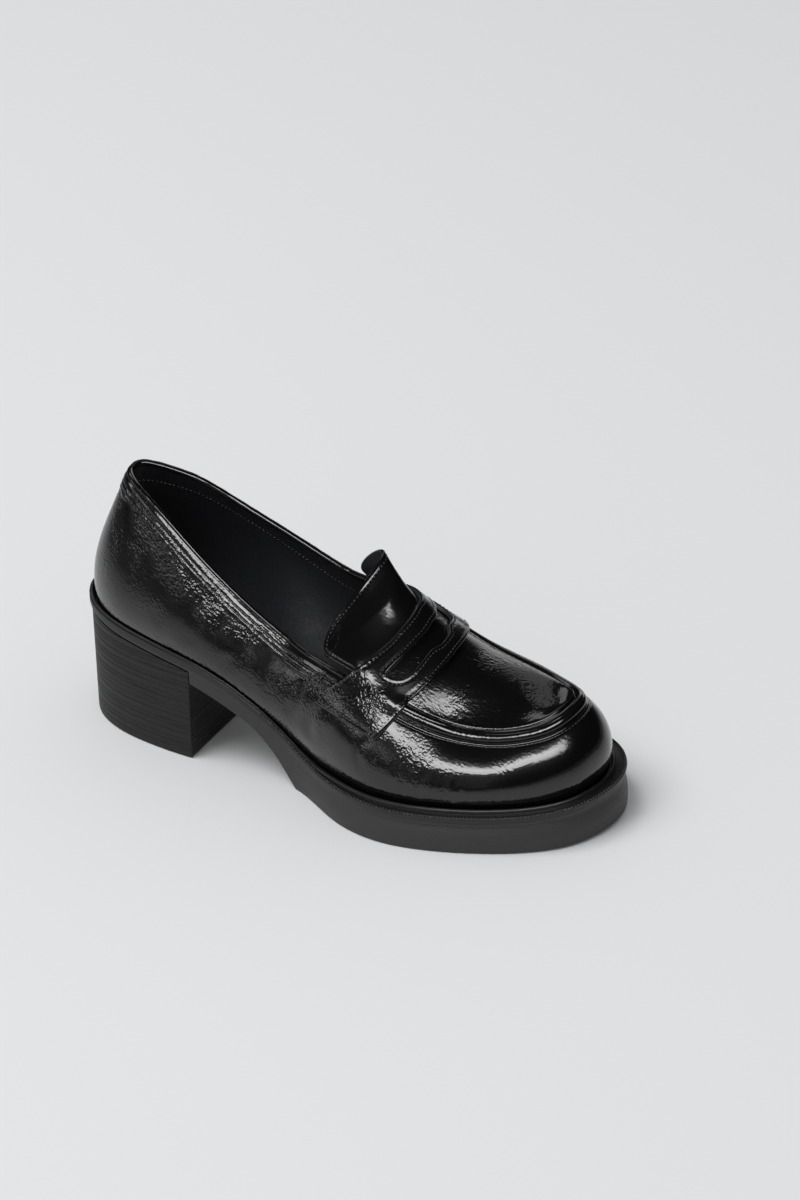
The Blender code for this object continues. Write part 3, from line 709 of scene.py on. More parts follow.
camera = {
    "lens": 120.0,
    "sensor": 36.0,            # along the picture's height
    "azimuth": 23.1,
    "elevation": 31.5,
    "pixelsPerMetre": 2278.0,  # at the anchor, the lower corner of the heel
    "anchor": (0.0630, -0.0205, 0.0),
    "anchorPixel": (191.8, 759.8),
    "picture": (800.0, 1200.0),
}


def placeCamera():
    focal = camera["lens"] / camera["sensor"] * camera["picture"][1]
    a, e = math.radians(camera["azimuth"]), math.radians(camera["elevation"])
    right = Vector((math.cos(a), math.sin(a), 0.0))
    forward = Vector((-math.sin(a) * math.cos(e), math.cos(a) * math.cos(e), -math.sin(e)))
    down = forward.cross(right)
    u = (camera["anchorPixel"][0] - camera["picture"][0] / 2) / focal
    v = (camera["anchorPixel"][1] - camera["picture"][1] / 2) / focal
    anchor = Vector(camera["anchor"]) - Vector(centre3)
    position = anchor - (forward + right * u + down * v) * (focal / camera["pixelsPerMetre"])
    data = bpy.data.cameras.new("studioCamera")
    data.lens = camera["lens"]
    data.sensor_width = camera["sensor"]
    data.clip_end = 100.0
    made = bpy.data.objects.new("studioCamera", data)
    turned = Matrix((right, -down, -forward)).transposed().to_4x4()
    made.matrix_world = Matrix.Translation(position) @ turned
    bpy.context.scene.collection.objects.link(made)
    bpy.context.scene.camera = made


studio = {
    "floor": (0.662, 0.668, 0.675),
    # painted shade: reflections see the floor darken to this colour away from the shoe, the camera never
    # does
    "reflectedFloorShade": (0.07, 0.07, 0.075),
    "floorFade": (0.14, 0.50),      # reflections see the floor fade out between these radii
    "floorSize": 12.0,
    "world": 0.50,
    "radius": 4.0,
    "cardSteps": (24, 12),
    # diffuse light on the floor: azimuth from the lateral side, elevation, size, radiance
    "fill": (-50.0, 62.0, 2.4, 7.1),
}

# Cards that only reflections see. Azimuths and elevations in degrees with their brightness there.
cards = {
    "keyCard": (11.0, [(-7, 0), (4, 1), (46, 1), (66, 0.8), (82, 0)],
                [(31, 0), (38, 0.85), (44, 1), (48, 0.7), (51, 0.1), (58, 0)]),
    "collarCard": (4.6, [(-86, 0), (-72, 0.7), (-36, 1), (-8, 0.8), (5, 0)],
                   [(10, 0), (14, 1), (21, 0.8), (28, 0)]),
    "hazeCard": (0.18, [(-60, 0), (-44, 1), (12, 1), (26, 0)], [(0, 0), (6, 1), (24, 1), (36, 0)]),
    "rearCard": (1.2, [(171, 0), (180, 1), (187, 1), (197, 0)],
                 [(-4, 0), (2, 1), (14, 0.9), (30, 0.4), (56, 0.5), (64, 0)]),
    "medialCard": (1.3, [(206, 0), (216, 1), (240, 1), (252, 0)], [(30, 0), (38, 1), (56, 1), (66, 0)]),
}


def direction(azimuth, elevation):
    a, e = math.radians(azimuth), math.radians(elevation)
    return Vector((math.sin(a) * math.cos(e), -math.cos(a) * math.cos(e), math.sin(e)))


def fadeAlong(look, value, stops):
    # brightness along a card's side, through the given stops
    first, final = stops[0][0], stops[-1][0]
    greys = [((angle - first) / (final - first), (bright, bright, bright)) for angle, bright in stops]
    return rampOn(look, value, greys, "EASE")


def buildCard(name):
    radiance, sideStops, riseStops = cards[name]
    across, rise = studio["cardSteps"]
    azimuths = np.linspace(sideStops[0][0], sideStops[-1][0], across + 1)
    elevations = np.linspace(riseStops[0][0], riseStops[-1][0], rise + 1)
    points = [direction(a, e) * studio["radius"] for e in elevations for a in azimuths]
    faces = []
    for r in range(rise):
        for c in range(across):
            i = r * (across + 1) + c
            faces.append((i, i + 1, i + across + 2, i + across + 1))
    mesh = bpy.data.meshes.new(name)
    mesh.from_pydata(points, [], faces)
    for field, values in (("side", np.tile(np.linspace(0, 1, across + 1), rise + 1)),
                          ("rise", np.repeat(np.linspace(0, 1, rise + 1), across + 1))):
        layer = mesh.attributes.new(field, "FLOAT", "POINT")
        layer.data.foreach_set("value", values.astype(np.float32))
    look = bpy.data.materials.new(name)
    look.use_nodes = True
    nodes = look.node_tree.nodes
    nodes.remove(nodes["Principled BSDF"])
    glow = addNode(look, "ShaderNodeEmission")
    fades = []
    for field, stops in (("side", sideStops), ("rise", riseStops)):
        given = addNode(look, "ShaderNodeAttribute", attribute_name=field)
        fades.append(fadeAlong(look, given.outputs["Fac"], stops))
    strength = mathOn(look, "MULTIPLY", mathOn(look, "MULTIPLY", *fades), radiance)
    join(look, strength, glow.inputs["Strength"])
    join(look, glow.outputs["Emission"], nodes["Material Output"].inputs["Surface"])
    mesh.materials.append(look)
    card = bpy.data.objects.new(name, mesh)
    bpy.context.scene.collection.objects.link(card)
    card.visible_camera = card.visible_diffuse = card.visible_shadow = card.visible_transmission = False


def buildFill():
    azimuth, elevation, size, radiance = studio["fill"]
    data = bpy.data.lights.new("fill", "AREA")
    data.size = size
    data.energy = radiance * size * size * math.pi
    fill = bpy.data.objects.new("fill", data)
    towards = direction(azimuth, elevation)
    fill.matrix_world = (Matrix.Translation(towards * studio["radius"])
                         @ towards.to_track_quat("Z", "Y").to_matrix().to_4x4())
    fill.visible_glossy = fill.visible_camera = False
    bpy.context.scene.collection.objects.link(fill)


def buildWorld():
    world = bpy.data.worlds.new("studio")
    bpy.context.scene.world = world
    world.use_nodes = True
    back = world.node_tree.nodes["Background"]
    back.inputs["Color"].default_value = (0.985, 0.992, 1.0, 1.0)
    back.inputs["Strength"].default_value = studio["world"]
    world.cycles_visibility.glossy = False
    bpy.context.scene.view_settings.view_transform = "Standard"
    bpy.context.scene.view_settings.look = "None"


def buildFloor():
    look, shader = newLook("paleFloor", studio["floor"], 0.9, Specular_IOR_Level=0.1)
    radius = addNode(look, "ShaderNodeVectorMath", operation="LENGTH")
    join(look, objectCoords(look), radius.inputs[0])
    # painted shade in reflections: glossy rays see the floor darken with distance, the camera sees it
    # evenly pale
    far = mapRange(look, radius.outputs["Value"], *studio["floorFade"], 0.0, 1.0)
    mirrored = addNode(look, "ShaderNodeLightPath").outputs["Is Glossy Ray"]
    shadeInReflections = mathOn(look, "MULTIPLY", far, mirrored)
    tint = rampOn(look, shadeInReflections, [(0.0, studio["floor"]), (1.0, studio["reflectedFloorShade"])])
    join(look, tint, shader.inputs["Base Color"])
    size = studio["floorSize"]
    mesh = bpy.data.meshes.new("studioFloor")
    mesh.from_pydata([(-size, -size, 0), (size, -size, 0), (size, size, 0), (-size, size, 0)], [],
                     [(0, 1, 2, 3)])
    mesh.materials.append(look)
    floor = bpy.data.objects.new("studioFloor", mesh)
    bpy.context.scene.collection.objects.link(floor)


placeCamera()
for cardName in cards:
    buildCard(cardName)
buildFill()
buildWorld()
buildFloor()
print("camera and studio set")


# Upper

upperForm = {
    "nearRow": 0.30 * mm,       # rows this close together near the top edge
    "nearDepth": 9.3 * mm,
    "wallSteps": 24,
    "bandSteps": 20,
    "apronSteps": 40,
    "seamFrom": (9.62, 9.86),   # the ridge rises here, under the strap
    "roll": (2.0, 2.9, 1.8),            # middle, half width, height in mm, inwards from the edge
    "rollCrease": (2.3, 0.40, 0.24),
    "innerGroove": (5.1, 0.40, 0.38),
    "outerGroove": (-1.15, 0.35, 0.16),
    "stitchGroove": (-3.25, 0.50, 0.30),
    "outerSwell": (-2.2, 0.75, 0.25),
    "collarTo": (8.9, 9.3),     # the stitched collar band fades out under the strap
    "collarRows": (3.4, 5.9),   # stitch rows, mm below the edge
    "rowGroove": (0.42, 0.20),
    "collarBand": (6.9, 8.6),
    "collarPad": 0.40,
    "swell": 0.10,
}

# from turn, mm below the edge, to turn, mm below the edge, depth in mm, half width in mm
creases = [
    (8.9, 15.0, 8.3, 30.0, 0.35, 3.0),
    (8.1, 13.0, 7.7, 26.0, 0.25, 2.4),
    (7.2, 12.0, 7.0, 27.0, 0.22, 2.6),
    (6.3, 13.0, 5.9, 30.0, 0.22, 3.0),
    (5.3, 11.0, 5.0, 34.0, 0.30, 3.4),
    (4.2, 14.0, 4.3, 38.0, 0.25, 3.2),
    (9.6, 18.0, 9.5, 31.0, 0.20, 1.8),
    (10.1, 21.0, 10.1, 31.0, 0.18, 1.5),
    (10.7, 20.0, 10.7, 29.0, 0.16, 1.4),
    (11.3, 21.0, 11.3, 28.0, 0.15, 1.3),
    (21.2, 14.0, 21.6, 30.0, 0.30, 3.0),
    (22.6, 12.0, 22.9, 32.0, 0.25, 2.8),
    (24.6, 13.0, 24.8, 34.0, 0.25, 3.2),
    (19.3, 18.0, 19.2, 29.0, 0.20, 1.8),
    (18.4, 20.0, 18.4, 28.0, 0.16, 1.5),
]

# patches of stronger crinkle: turn, mm below the edge, radius in mm, strength
crinkles = [
    (2.2, 24.0, 9.0, 0.9), (3.4, 24.0, 9.0, 0.9), (5.6, 15.0, 10.0, 0.8), (7.2, 13.0, 12.0, 0.7),
    (8.6, 12.0, 10.0, 0.9), (9.9, 10.0, 8.0, 0.6), (10.6, 16.0, 8.0, 0.5), (22.0, 14.0, 12.0, 0.8),
    (25.0, 18.0, 12.0, 0.7),
]


def seamRelief(distance):
    # distance in mm from the wall's top edge, positive on the apron
    form = upperForm
    middle, half, height = form["roll"]
    ridge = height * roll(distance, middle, half) ** 1.1
    for name in ("rollCrease", "innerGroove", "outerGroove", "stitchGroove"):
        at, width, depth = form[name]
        ridge = ridge - depth * groove(distance, at, width)
    at, width, height = form["outerSwell"]
    return ridge + height * groove(distance, at, width)


def collarRelief(depth, points):
    form = upperForm
    pad = 1.0 - smoothStep(depth + 0.5 * lowWaves(points, 5, 0.006), *form["collarBand"])
    relief = form["collarPad"] * pad * (1.0 - 0.6 * groove(depth, 0.0, 0.8))
    width, sunk = form["rowGroove"]
    for row in form["collarRows"]:
        relief = relief - sunk * groove(depth, row, width)
    pucker = lowWaves(points, 8, 0.0032) * 0.05 * groove(depth, 4.6, 3.0)
    return relief + pucker


def polylineDistance(points, line):
    nearest = np.full(len(points), 1.0)
    for a, b in zip(line[:-1], line[1:]):
        along = b - a
        share = np.clip((points - a) @ along / max(along @ along, 1e-12), 0.0, 1.0)
        nearest = np.minimum(nearest, np.linalg.norm(points - a - share[:, None] * along, axis=1))
    return nearest


def creaseRelief(points):
    # each crease is a slightly bowed groove with a low swell beside it
    relief = np.zeros(len(points))
    for index, (turnA, depthA, turnB, depthB, depth, half) in enumerate(creases):
        share = np.linspace(0.0, 1.0, 9)
        bow = 0.12 * np.sin(math.pi * share) * (1 if index % 2 else -1)
        turns = turnA + (turnB - turnA) * share + bow
        line, _ = wallAt(turns, (depthA + (depthB - depthA) * share) * mm)
        gap = polylineDistance(points, line) / mm
        relief -= depth * groove(gap, 0.0, half)
        relief += 0.45 * depth * groove(gap, 1.9 * half, half)
    return relief


def upperCrinkle(points, distance, section, collarWeight, apron):
    # how strongly the patent crinkles: more on the apron and in the patches, less at the edge
    crinkle = np.where(apron, 0.75, 0.50) + 0.7 * collarWeight * groove(-distance, 9.5, 5.0)
    crinkle -= 0.45 * collarWeight * groove(-distance, 1.2, 2.4)
    crinkle += 0.30 * smoothStep(9.5 - section, 0.0, 1.5)
    for turn, depth, radius, amount in crinkles:
        spot = wallAt(np.array([turn]), depth * mm)[0]
        crinkle += amount * groove(np.linalg.norm(points - spot, axis=1) / mm, 0.0, radius)
    return crinkle * (1.0 - 0.5 * smoothStep(section, 10.8, 13.0) * np.where(apron, 0.5, 1.0))


def buildUpper():
    form = upperForm
    sections = denseSections()
    first = int(np.argmin(np.abs(sections - throat)))
    count = len(sections)
    turns = roundTurns(sections)
    total = len(turns)
    _, lengths = wallAt(turns, 0.0)
    depths = [np.full(total, depth) for depth in np.arange(0.0, form["nearDepth"], form["nearRow"])]
    reached = depths[-1]
    for step in range(1, form["wallSteps"] + 1):
        depths.append(reached + (lengths - reached) * step / form["wallSteps"])
    rows = [wallAt(turns, depth)[0] for depth in depths]
    points = list(np.vstack(rows))
    distance = list(-np.concatenate(depths))
    section = list(np.tile(sectionOf(turns), len(depths)))
    faces = []
    for r in range(len(rows) - 1):
        for i in range(total):
            j = (i + 1) % total
            faces.append(((r + 1) * total + i, (r + 1) * total + j, r * total + j, r * total + i))
    band = np.linspace(0.0, last["seamWidth"], form["bandSteps"] + 1)[1:]
    across = np.linspace(-1.0, 1.0, form["apronSteps"] + 1)[1:-1]
    lines = []
    for s in range(first, count):
        value = sections[s]
        pair = np.array([value, loopCount - value])
        edge, way = wallFrame(pair)[3], brow(pair)
        sides = []
        for side in (0, 1):
            sides.append(list(range(len(points), len(points) + len(band))))
            points.extend(edge[side] + way[side] * band[:, None])
            distance.extend(band)
            section.extend([value] * len(band))
            if s == count - 1:
                sides.append(sides[0])
                break
        if s == count - 1:
            middle = [sides[0][-1]] * len(across)
        else:
            middle = list(range(len(points), len(points) + len(across)))
            inner = instepPoint(np.full(len(across), value), across)
            points.extend(inner)
            gap = np.minimum(np.linalg.norm(inner - points[sides[0][-1]], axis=1),
                             np.linalg.norm(inner - points[sides[1][-1]], axis=1))
            distance.extend(last["seamWidth"] + gap)
            section.extend([value] * len(across))
        lines.append([s] + sides[0] + middle + sides[1][::-1] + [(total - s) % total])
    faces += lineFaces(lines, True)
    points, distance, section = np.array(points), np.array(distance) / mm, np.array(section)
    seamWeight = smoothStep(section, *form["seamFrom"])
    collarWeight = 1.0 - smoothStep(section, *form["collarTo"])
    apron = distance > last["seamWidth"] / mm
    relief = seamWeight * seamRelief(distance) + collarWeight * collarRelief(-distance, points)
    relief += form["swell"] * lowWaves(points, 3, 0.021) * np.where(apron, 0.6, 1.0)
    relief += creaseRelief(points) * smoothStep(-distance, 8.0, 11.0)
    crinkle = upperCrinkle(points, distance, section, collarWeight, apron)
    solid, outer, inner, sides = sheetBody(points, faces, relief * mm, last["wall"])
    looks = [0] * len(outer) + [1] * (len(inner) + len(sides))
    piece = meshPiece("upperShell", solid, outer + inner + sides, [patent, lining], looks, 50,
                      {"crinkle": np.concatenate([crinkle, crinkle])})
    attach(piece, "root")
    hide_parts("upper")
    print("upper", len(piece.data.polygons), "faces")


buildUpper()


# Saddle strap, tongue and binding

strapForm = {
    "gap": 0.4 * mm,
    "thickness": 2.0 * mm,
    "edgeRound": 0.55 * mm,
    "end": 1.27,
    "slant": 0.09,
    "slotEnd": 0.73,
    "bump": 1.15 * mm,          # how far it is lifted over the apron's ridge
    "bumpAt": (2.0, 3.8),       # mm inwards from the wall's top edge, half width
    "bumpFrom": (9.35, 9.80),
    "wallPlace": 42.0,          # mm of wall and of apron in one place
    "apronPlace": 30.0,
    "seam": 6.0,
    "stitchIn": 1.9 * mm,
    "stitchGroove": 0.16 * mm,
    "grooveHalf": 0.42 * mm,
    "endMargin": 0.03,
    "endStitch": 0.045,
    "slotMargin": 0.075,
}

# place, rear section, front section
strapRows = [
    (0.00, 9.01, 10.02), (0.24, 9.08, 10.05), (0.50, 9.17, 10.07), (0.72, 9.19, 10.05),
    (0.86, 9.14, 10.00), (1.00, 9.02, 9.92), (1.20, 8.74, 9.78), (1.40, 8.46, 9.62),
]

# place, rear share and front share of the strap's width
slotRows = [
    (0.00, 0.36, 0.71), (0.10, 0.36, 0.69), (0.24, 0.345, 0.61), (0.40, 0.34, 0.63),
    (0.56, 0.345, 0.64), (0.66, 0.36, 0.60), (0.71, 0.375, 0.53), (0.73, 0.405, 0.455),
]


def alongPlaces(rows, column, place):
    return rowCurve([(row[0], row[column]) for row in rows], np.abs(place))


def strapSpot(place, share):
    rear, front = alongPlaces(strapRows, 1, place), alongPlaces(strapRows, 2, place)
    slant = smoothStep(np.abs(place), strapForm["slotEnd"], strapForm["end"]) * np.sign(place)
    return rear + (front - rear) * share, place + strapForm["slant"] * slant * share


def ridgeLift(section, place):
    # the strap's rise over the apron seam
    depth = np.abs(place)
    form, seam = strapForm, strapForm["seam"]
    inside = np.where(depth > 1.0, -(depth - 1.0) * form["wallPlace"],
                      np.minimum((1.0 - depth) / last["browPlace"] * seam, seam)
                      + np.maximum(1.0 - last["browPlace"] - depth, 0.0) * form["apronPlace"])
    return form["bump"] * groove(inside, *form["bumpAt"]) * smoothStep(section, *form["bumpFrom"])


def roundedLift(gap, edgeRound):
    short = np.clip(edgeRound - gap, 0.0, edgeRound)
    return edgeRound - np.sqrt(np.maximum(edgeRound ** 2 - short ** 2, 0.0))


def buildStrap():
    form = strapForm
    outerHalf = spaced(-form["end"], -form["slotEnd"] - 0.012, 46, 0.5)
    innerHalf = -form["slotEnd"] * np.sin(np.linspace(math.pi / 2, 0.0, 62))
    half = np.concatenate([outerHalf, innerHalf])
    places = np.concatenate([half, -half[-2::-1]])
    slotRear, slotFront = alongPlaces(slotRows, 1, places), alongPlaces(slotRows, 2, places)
    inside = np.abs(places) < form["slotEnd"] + 1e-9
    bands = [(np.zeros_like(places), slotRear, 17), (slotRear, slotFront, 9),
             (slotFront, np.ones_like(places), 17)]
    shares, skipped = [], []
    for index, (low, high, steps) in enumerate(bands):
        for step in spaced(0.0, 1.0, steps, 0.55)[(0 if index == 0 else 1):]:
            shares.append(low + (high - low) * step)
            skipped.append(index == 1)
    spots = [strapSpot(places, share) for share in shares]
    sections = np.concatenate([spot[0] for spot in spots])
    spread = np.concatenate([spot[1] for spot in spots])
    base = lastPoint(sections, spread)
    faces = gridFaces(len(shares), len(places), np.outer(skipped[1:], inside[:-1] & inside[1:]))
    lift = form["gap"] + ridgeLift(sections, spread)
    gap = edgeDistance(base, faces)
    top = lift + form["thickness"] - roundedLift(gap, form["edgeRound"])
    top -= form["stitchGroove"] * groove(gap, form["stitchIn"], form["grooveHalf"])
    top += 0.07 * mm * lowWaves(base, 21, 0.009) * smoothStep(gap, 1.0 * mm, 3.0 * mm)
    crinkle = (0.35 + 0.7 * groove(np.abs(spread), 1.0, 0.16)
               + 0.3 * groove(gap, form["stitchIn"], 1.0 * mm))
    used = np.unique(np.array(faces))
    remap = np.full(len(base), -1)
    remap[used] = np.arange(len(used))
    faces = [tuple(remap[list(face)]) for face in faces]
    solid, outer, inner, sides = sheetBody(base[used], faces, top[used], -lift[used])
    looks = [0] * len(outer) + [1] * (len(inner) + len(sides))
    piece = meshPiece("saddleStrap", solid, outer + inner + sides, [patent, lining], looks, 60,
                      {"crinkle": np.concatenate([crinkle[used], crinkle[used]])})
    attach(piece, "root")
    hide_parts("saddle_strap")
    print("saddle strap", len(piece.data.polygons), "faces")


tongueForm = {
    "thickness": 2.0 * mm,
    "edgeRound": 0.8 * mm,
    "top": 8.05,
    "corner": 0.42,
    "side": 0.93,
    "foot": throat - 0.04,
    "lean": (-2.2 * mm, 5.0 * mm, -3.4 * mm),
    "leanFrom": (8.62, 0.57, 1.2),      # section, how many sections to the full lean, ease
    "leanAcross": (0.9, 1.83),          # medial place without lean, places to the full lean
    "stitchIn": 2.2 * mm,
    "stitchGroove": 0.18 * mm,
    "grooveHalf": 0.45 * mm,
    # the stitched line: place of its sides, their shares down the tongue, end and share of its top
    "stitchSide": 0.925,
    "stitchDown": (0.86, 0.10),
    "stitchTop": (0.80, 0.082),
}


def tongueSpot(across, share):
    start = tongueForm["top"] + tongueForm["corner"] * np.abs(across) ** 5
    return start + (tongueForm["foot"] - start) * share, across * tongueForm["side"]


def tonguePoint(sections, spread):
    # behind the strap it lies back, more so on the lateral side
    start, reach, ease = tongueForm["leanFrom"]
    upright, width = tongueForm["leanAcross"]
    share = np.clip((start - sections) / reach, 0.0, 1.0) ** ease
    share = share * np.clip((upright - spread) / width, 0.0, 1.0)
    return lastPoint(sections, spread) + share[:, None] * np.array(tongueForm["lean"])


def buildTongue():
    form = tongueForm
    across = spaced(-1.0, 1.0, 91, 0.45)
    shares = 1.0 - np.cos(np.linspace(0.0, math.pi / 2, 60))
    spots = [tongueSpot(across, np.full(len(across), share)) for share in shares]
    sections = np.concatenate([spot[0] for spot in spots])
    spread = np.concatenate([spot[1] for spot in spots])
    base = tonguePoint(sections, spread)
    faces = gridFaces(len(shares), len(across))
    gap = edgeDistance(base, faces)
    lift = -roundedLift(gap, form["edgeRound"])
    lift -= form["stitchGroove"] * groove(gap, form["stitchIn"], form["grooveHalf"])
    lift += 0.12 * mm * lowWaves(base, 31, 0.016) * smoothStep(gap, 2.0 * mm, 6.0 * mm)
    drop = form["thickness"] - roundedLift(gap, form["edgeRound"])
    crinkle = 0.15 + 0.22 * groove(gap, 0.0, 3.0 * mm)
    solid, outer, inner, sides = sheetBody(base, faces, lift, drop)
    looks = [0] * len(outer) + [1] * len(inner) + [0] * len(sides)
    piece = meshPiece("tonguePiece", solid, outer + inner + sides, [patent, lining], looks, 60,
                      {"crinkle": np.concatenate([crinkle, crinkle])})
    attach(piece, "root")
    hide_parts("tongue")
    print("tongue", len(piece.data.polygons), "faces")


bindingForm = {
    "radius": 1.3 * mm,
    "end": 9.0,
    "steps": 460,
    "sides": 14,
}


def buildBinding():
    form = bindingForm
    turns = np.linspace(-form["end"], form["end"], form["steps"])
    edge, way = wallFrame(turns)[3], brow(turns)
    along = np.gradient(edge, axis=0)
    side = unit(np.cross(unit(along), way))
    inward = np.where((np.einsum("ij,ij->i", side, outward(turns)) > 0)[:, None], -side, side)
    middle = edge + inward * last["wall"] / 2.0 + way * (form["radius"] * 0.75)
    thick = 1.0 + 0.03 * lowWaves(edge, 41, 0.005)[:, None]
    rings = []
    for k in range(form["sides"]):
        angle = 2.0 * math.pi * k / form["sides"]
        rings.append(middle + form["radius"] * thick * (math.cos(angle) * inward * 1.12
                                                         + math.sin(angle) * way))
    points = np.vstack(rings)
    count = len(turns)
    faces = []
    for k in range(form["sides"]):
        m = (k + 1) % form["sides"]
        for i in range(count - 1):
            faces.append((k * count + i, k * count + i + 1, m * count + i + 1, m * count + i))
    faces.append(tuple(k * count for k in range(form["sides"])))
    faces.append(tuple(k * count + count - 1 for k in reversed(range(form["sides"]))))
    piece = meshPiece("toplineRoll", points, faces, [patent], sharp=60,
                      fields={"crinkle": np.full(len(points), 0.25)})
    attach(piece, "root")
    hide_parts("topline_binding")
    print("binding", len(piece.data.polygons), "faces")


buildStrap()
buildTongue()
buildBinding()


# Welt, sole, heel and insole

weltForm = {
    "bead": 1.9 * mm,
    "beadShare": 0.45,
    "ledge": 0.6 * mm,
    "rimRound": 0.5 * mm,
    "facetGap": 0.1 * mm,
    "beadArc": 0.93,            # of a half circle
    "beadFall": 0.92,
    "groove": 0.35 * mm,
    "grooveRows": ((0.06, 1.0), (0.30, 0.2)),   # share of the ledge, share of the groove's depth
    "ribFrom": 6.6,
    "ribPitch": 1.6 * mm,
    "ribLength": 2.1 * mm,
    "ribRadius": 0.50 * mm,
    "ribInset": 0.22 * mm,
    "ribLean": 0.9,
}


def weltRings(turns):
    form = weltForm
    normal = outward(turns)
    up = np.array([0.0, 0.0, 1.0])
    foot, low, _, _ = wallFrame(turns)
    lean = (low - foot) / (low - foot)[:, 2:3]
    base = rimEdge(turns, loopValues(turns)[:, 6])
    base[:, 2] = seatHeight(base[:, 0]) + last["fitGap"]
    rim = rimEdge(turns, 0.0)
    rim[:, 2] = seatHeight(rim[:, 0]) + last["fitGap"]
    room = np.linalg.norm((rim - base)[:, :2], axis=1)[:, None]
    bead = np.minimum(form["bead"], form["beadShare"] * room)
    innerLow = base + normal * (last["fitGap"] + form["facetGap"])
    height = last["weltThickness"] + last["beadRise"]
    shoulder = base + lean * height + normal * (last["fitGap"] + 2.0 * form["facetGap"])
    over = np.einsum("ij,ij->i", shoulder + normal * bead - (rim - normal * form["ledge"]), normal)
    bead = bead - np.maximum(over, 0.0)[:, None]
    rings = [innerLow, shoulder - lean * last["beadRise"] * 0.6]
    for angle in np.linspace(math.pi * form["beadArc"], 0.0, 9):
        out, fall = 0.5 + 0.5 * math.cos(angle), 1.0 - math.sin(angle)
        rings.append(shoulder + normal * bead * out - up * last["beadRise"] * fall * form["beadFall"])
    edge = shoulder + normal * bead - up * last["beadRise"]
    width = np.maximum(np.einsum("ij,ij->i", rim - edge, normal), 0.2 * mm)[:, None]
    ledgeTop = rim + up * last["weltThickness"]
    dip = np.minimum(form["groove"], 0.25 * width)
    for share, deep in form["grooveRows"]:
        rings.append(edge + normal * share * width - up * dip * deep)
    for angle in np.linspace(math.pi / 2, 0.0, 5):
        inset = form["rimRound"] * (1.0 - math.cos(angle))
        rings.append(ledgeTop - normal * inset - up * form["rimRound"] * (1.0 - math.sin(angle)))
    rings.append(rim)
    return rings, ledgeTop, normal


def buildWelt():
    turns = roundTurns(denseSections())
    rings = weltRings(turns)[0]
    faces = loopFaces(len(rings), len(turns), True)
    piece = meshPiece("weltStrip", np.vstack(rings), faces, [weltRubber], sharp=50)
    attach(piece, "root")
    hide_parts("welt")
    print("welt", len(piece.data.polygons), "faces")


outsoleForm = {
    "breastStep": 0.012,
    "lip": 1.6 * mm,
    "groove": 0.5 * mm,
    "cove": 0.4 * mm,
    "lipShare": 0.52,           # lip and groove, at most this share of the sole's height
    "bevelShare": 0.20,
    "flareTo": 0.75,            # the side has its full flare from this share of its height down
    "treadBevel": 0.8 * mm,
    "treadPitch": 4.2 * mm,
    "treadDepth": 0.5 * mm,
    "treadFrom": (0.118, 0.124),
    "treadRim": (0.06, 0.08),
    "columns": 30,
}


def buildOutsole():
    form = outsoleForm
    shared = denseSections()
    rear = shared[shared <= breast]
    front = np.concatenate([[breast + form["breastStep"]], shared[shared > breast]])
    behind = np.concatenate([np.ones(len(rear), bool), np.zeros(len(front), bool)])
    turns = roundTurns(np.concatenate([rear, front]))
    behindAll = np.concatenate([behind, behind[-2:0:-1]])
    wide = flareOf(turns)

    def edge(inset, share, drop, bottom, flared):
        points = rimEdge(turns, inset - flared * wide)
        top = seatHeight(points[:, 0])
        ground = groundHeight(points[:, 0], behindAll)
        down = np.minimum(drop, share * (top - ground))
        points[:, 2] = ground + down if bottom else top - down
        return points

    def treadHeight(x, i):
        height = groundHeight(x, np.full(len(x), behind[i]))
        if behind[i]:
            return height
        share = np.linspace(0.0, 1.0, form["columns"] + 1)[1:-1]
        inRim = smoothStep(np.minimum(share, 1.0 - share), *form["treadRim"])
        wave = np.sin(2 * math.pi * x / form["treadPitch"]) > 0.55
        return height + form["treadDepth"] * smoothStep(x, *form["treadFrom"]) * inRim * wave

    inset, side, lip, cut = soleSide["rimInset"], soleSide["sideInset"], form["lip"], form["groove"]
    bevel, cove = form["treadBevel"], form["cove"]
    rings = [edge(inset, 0.0, 0.0, False, 0.0),
             edge(inset, 0.42, lip * 0.85, False, 0.0),
             edge(inset + 0.12 * mm, 0.45, lip, False, 0.0),
             edge(inset + cove, 0.48, lip + cut * 0.4, False, 0.0)]
    for step in np.linspace(0.0, 1.0, 12):
        points = rimEdge(turns, inset + cove + (side - inset - cove) * step
                         - wide * math.sin(0.5 * math.pi * min(step / form["flareTo"], 1.0)))
        top = seatHeight(points[:, 0])
        thick = top - groundHeight(points[:, 0], behindAll)
        start = np.minimum(lip + cut, form["lipShare"] * thick)
        end = thick - np.minimum(bevel, form["bevelShare"] * thick)
        points[:, 2] = top - start - (end - start) * step
        rings.append(points)
    rings.append(edge(side + 0.3 * bevel, 0.10, 0.3 * bevel, True, 1.0))
    rings.append(edge(side + bevel, 0.0, 0.0, True, 1.0))
    count = len(turns)
    points = list(np.vstack(rings))
    faces = loopFaces(len(rings), count, False)
    faces += fillRing(points, 0, count, form["columns"], lambda x, i: seatHeight(x))
    faces += fillRing(points, (len(rings) - 1) * count, count, form["columns"], treadHeight)
    piece = meshPiece("soleUnit", points, faces, [soleRubber], sharp=38)
    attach(piece, "root")
    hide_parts("outsole")
    print("outsole", len(piece.data.polygons), "faces")


heelForm = {
    "inset": 1.0 * mm,
    "taper": 1.0 * mm,
    "bevel": 0.6 * mm,
    "layers": 18,
    "groove": 0.16 * mm,
    "topPiece": 4.0 * mm,
    "overlap": 3.0 * mm,        # the last ring ends this far above the seat, then it is cut there
    "front": 4.98,
}


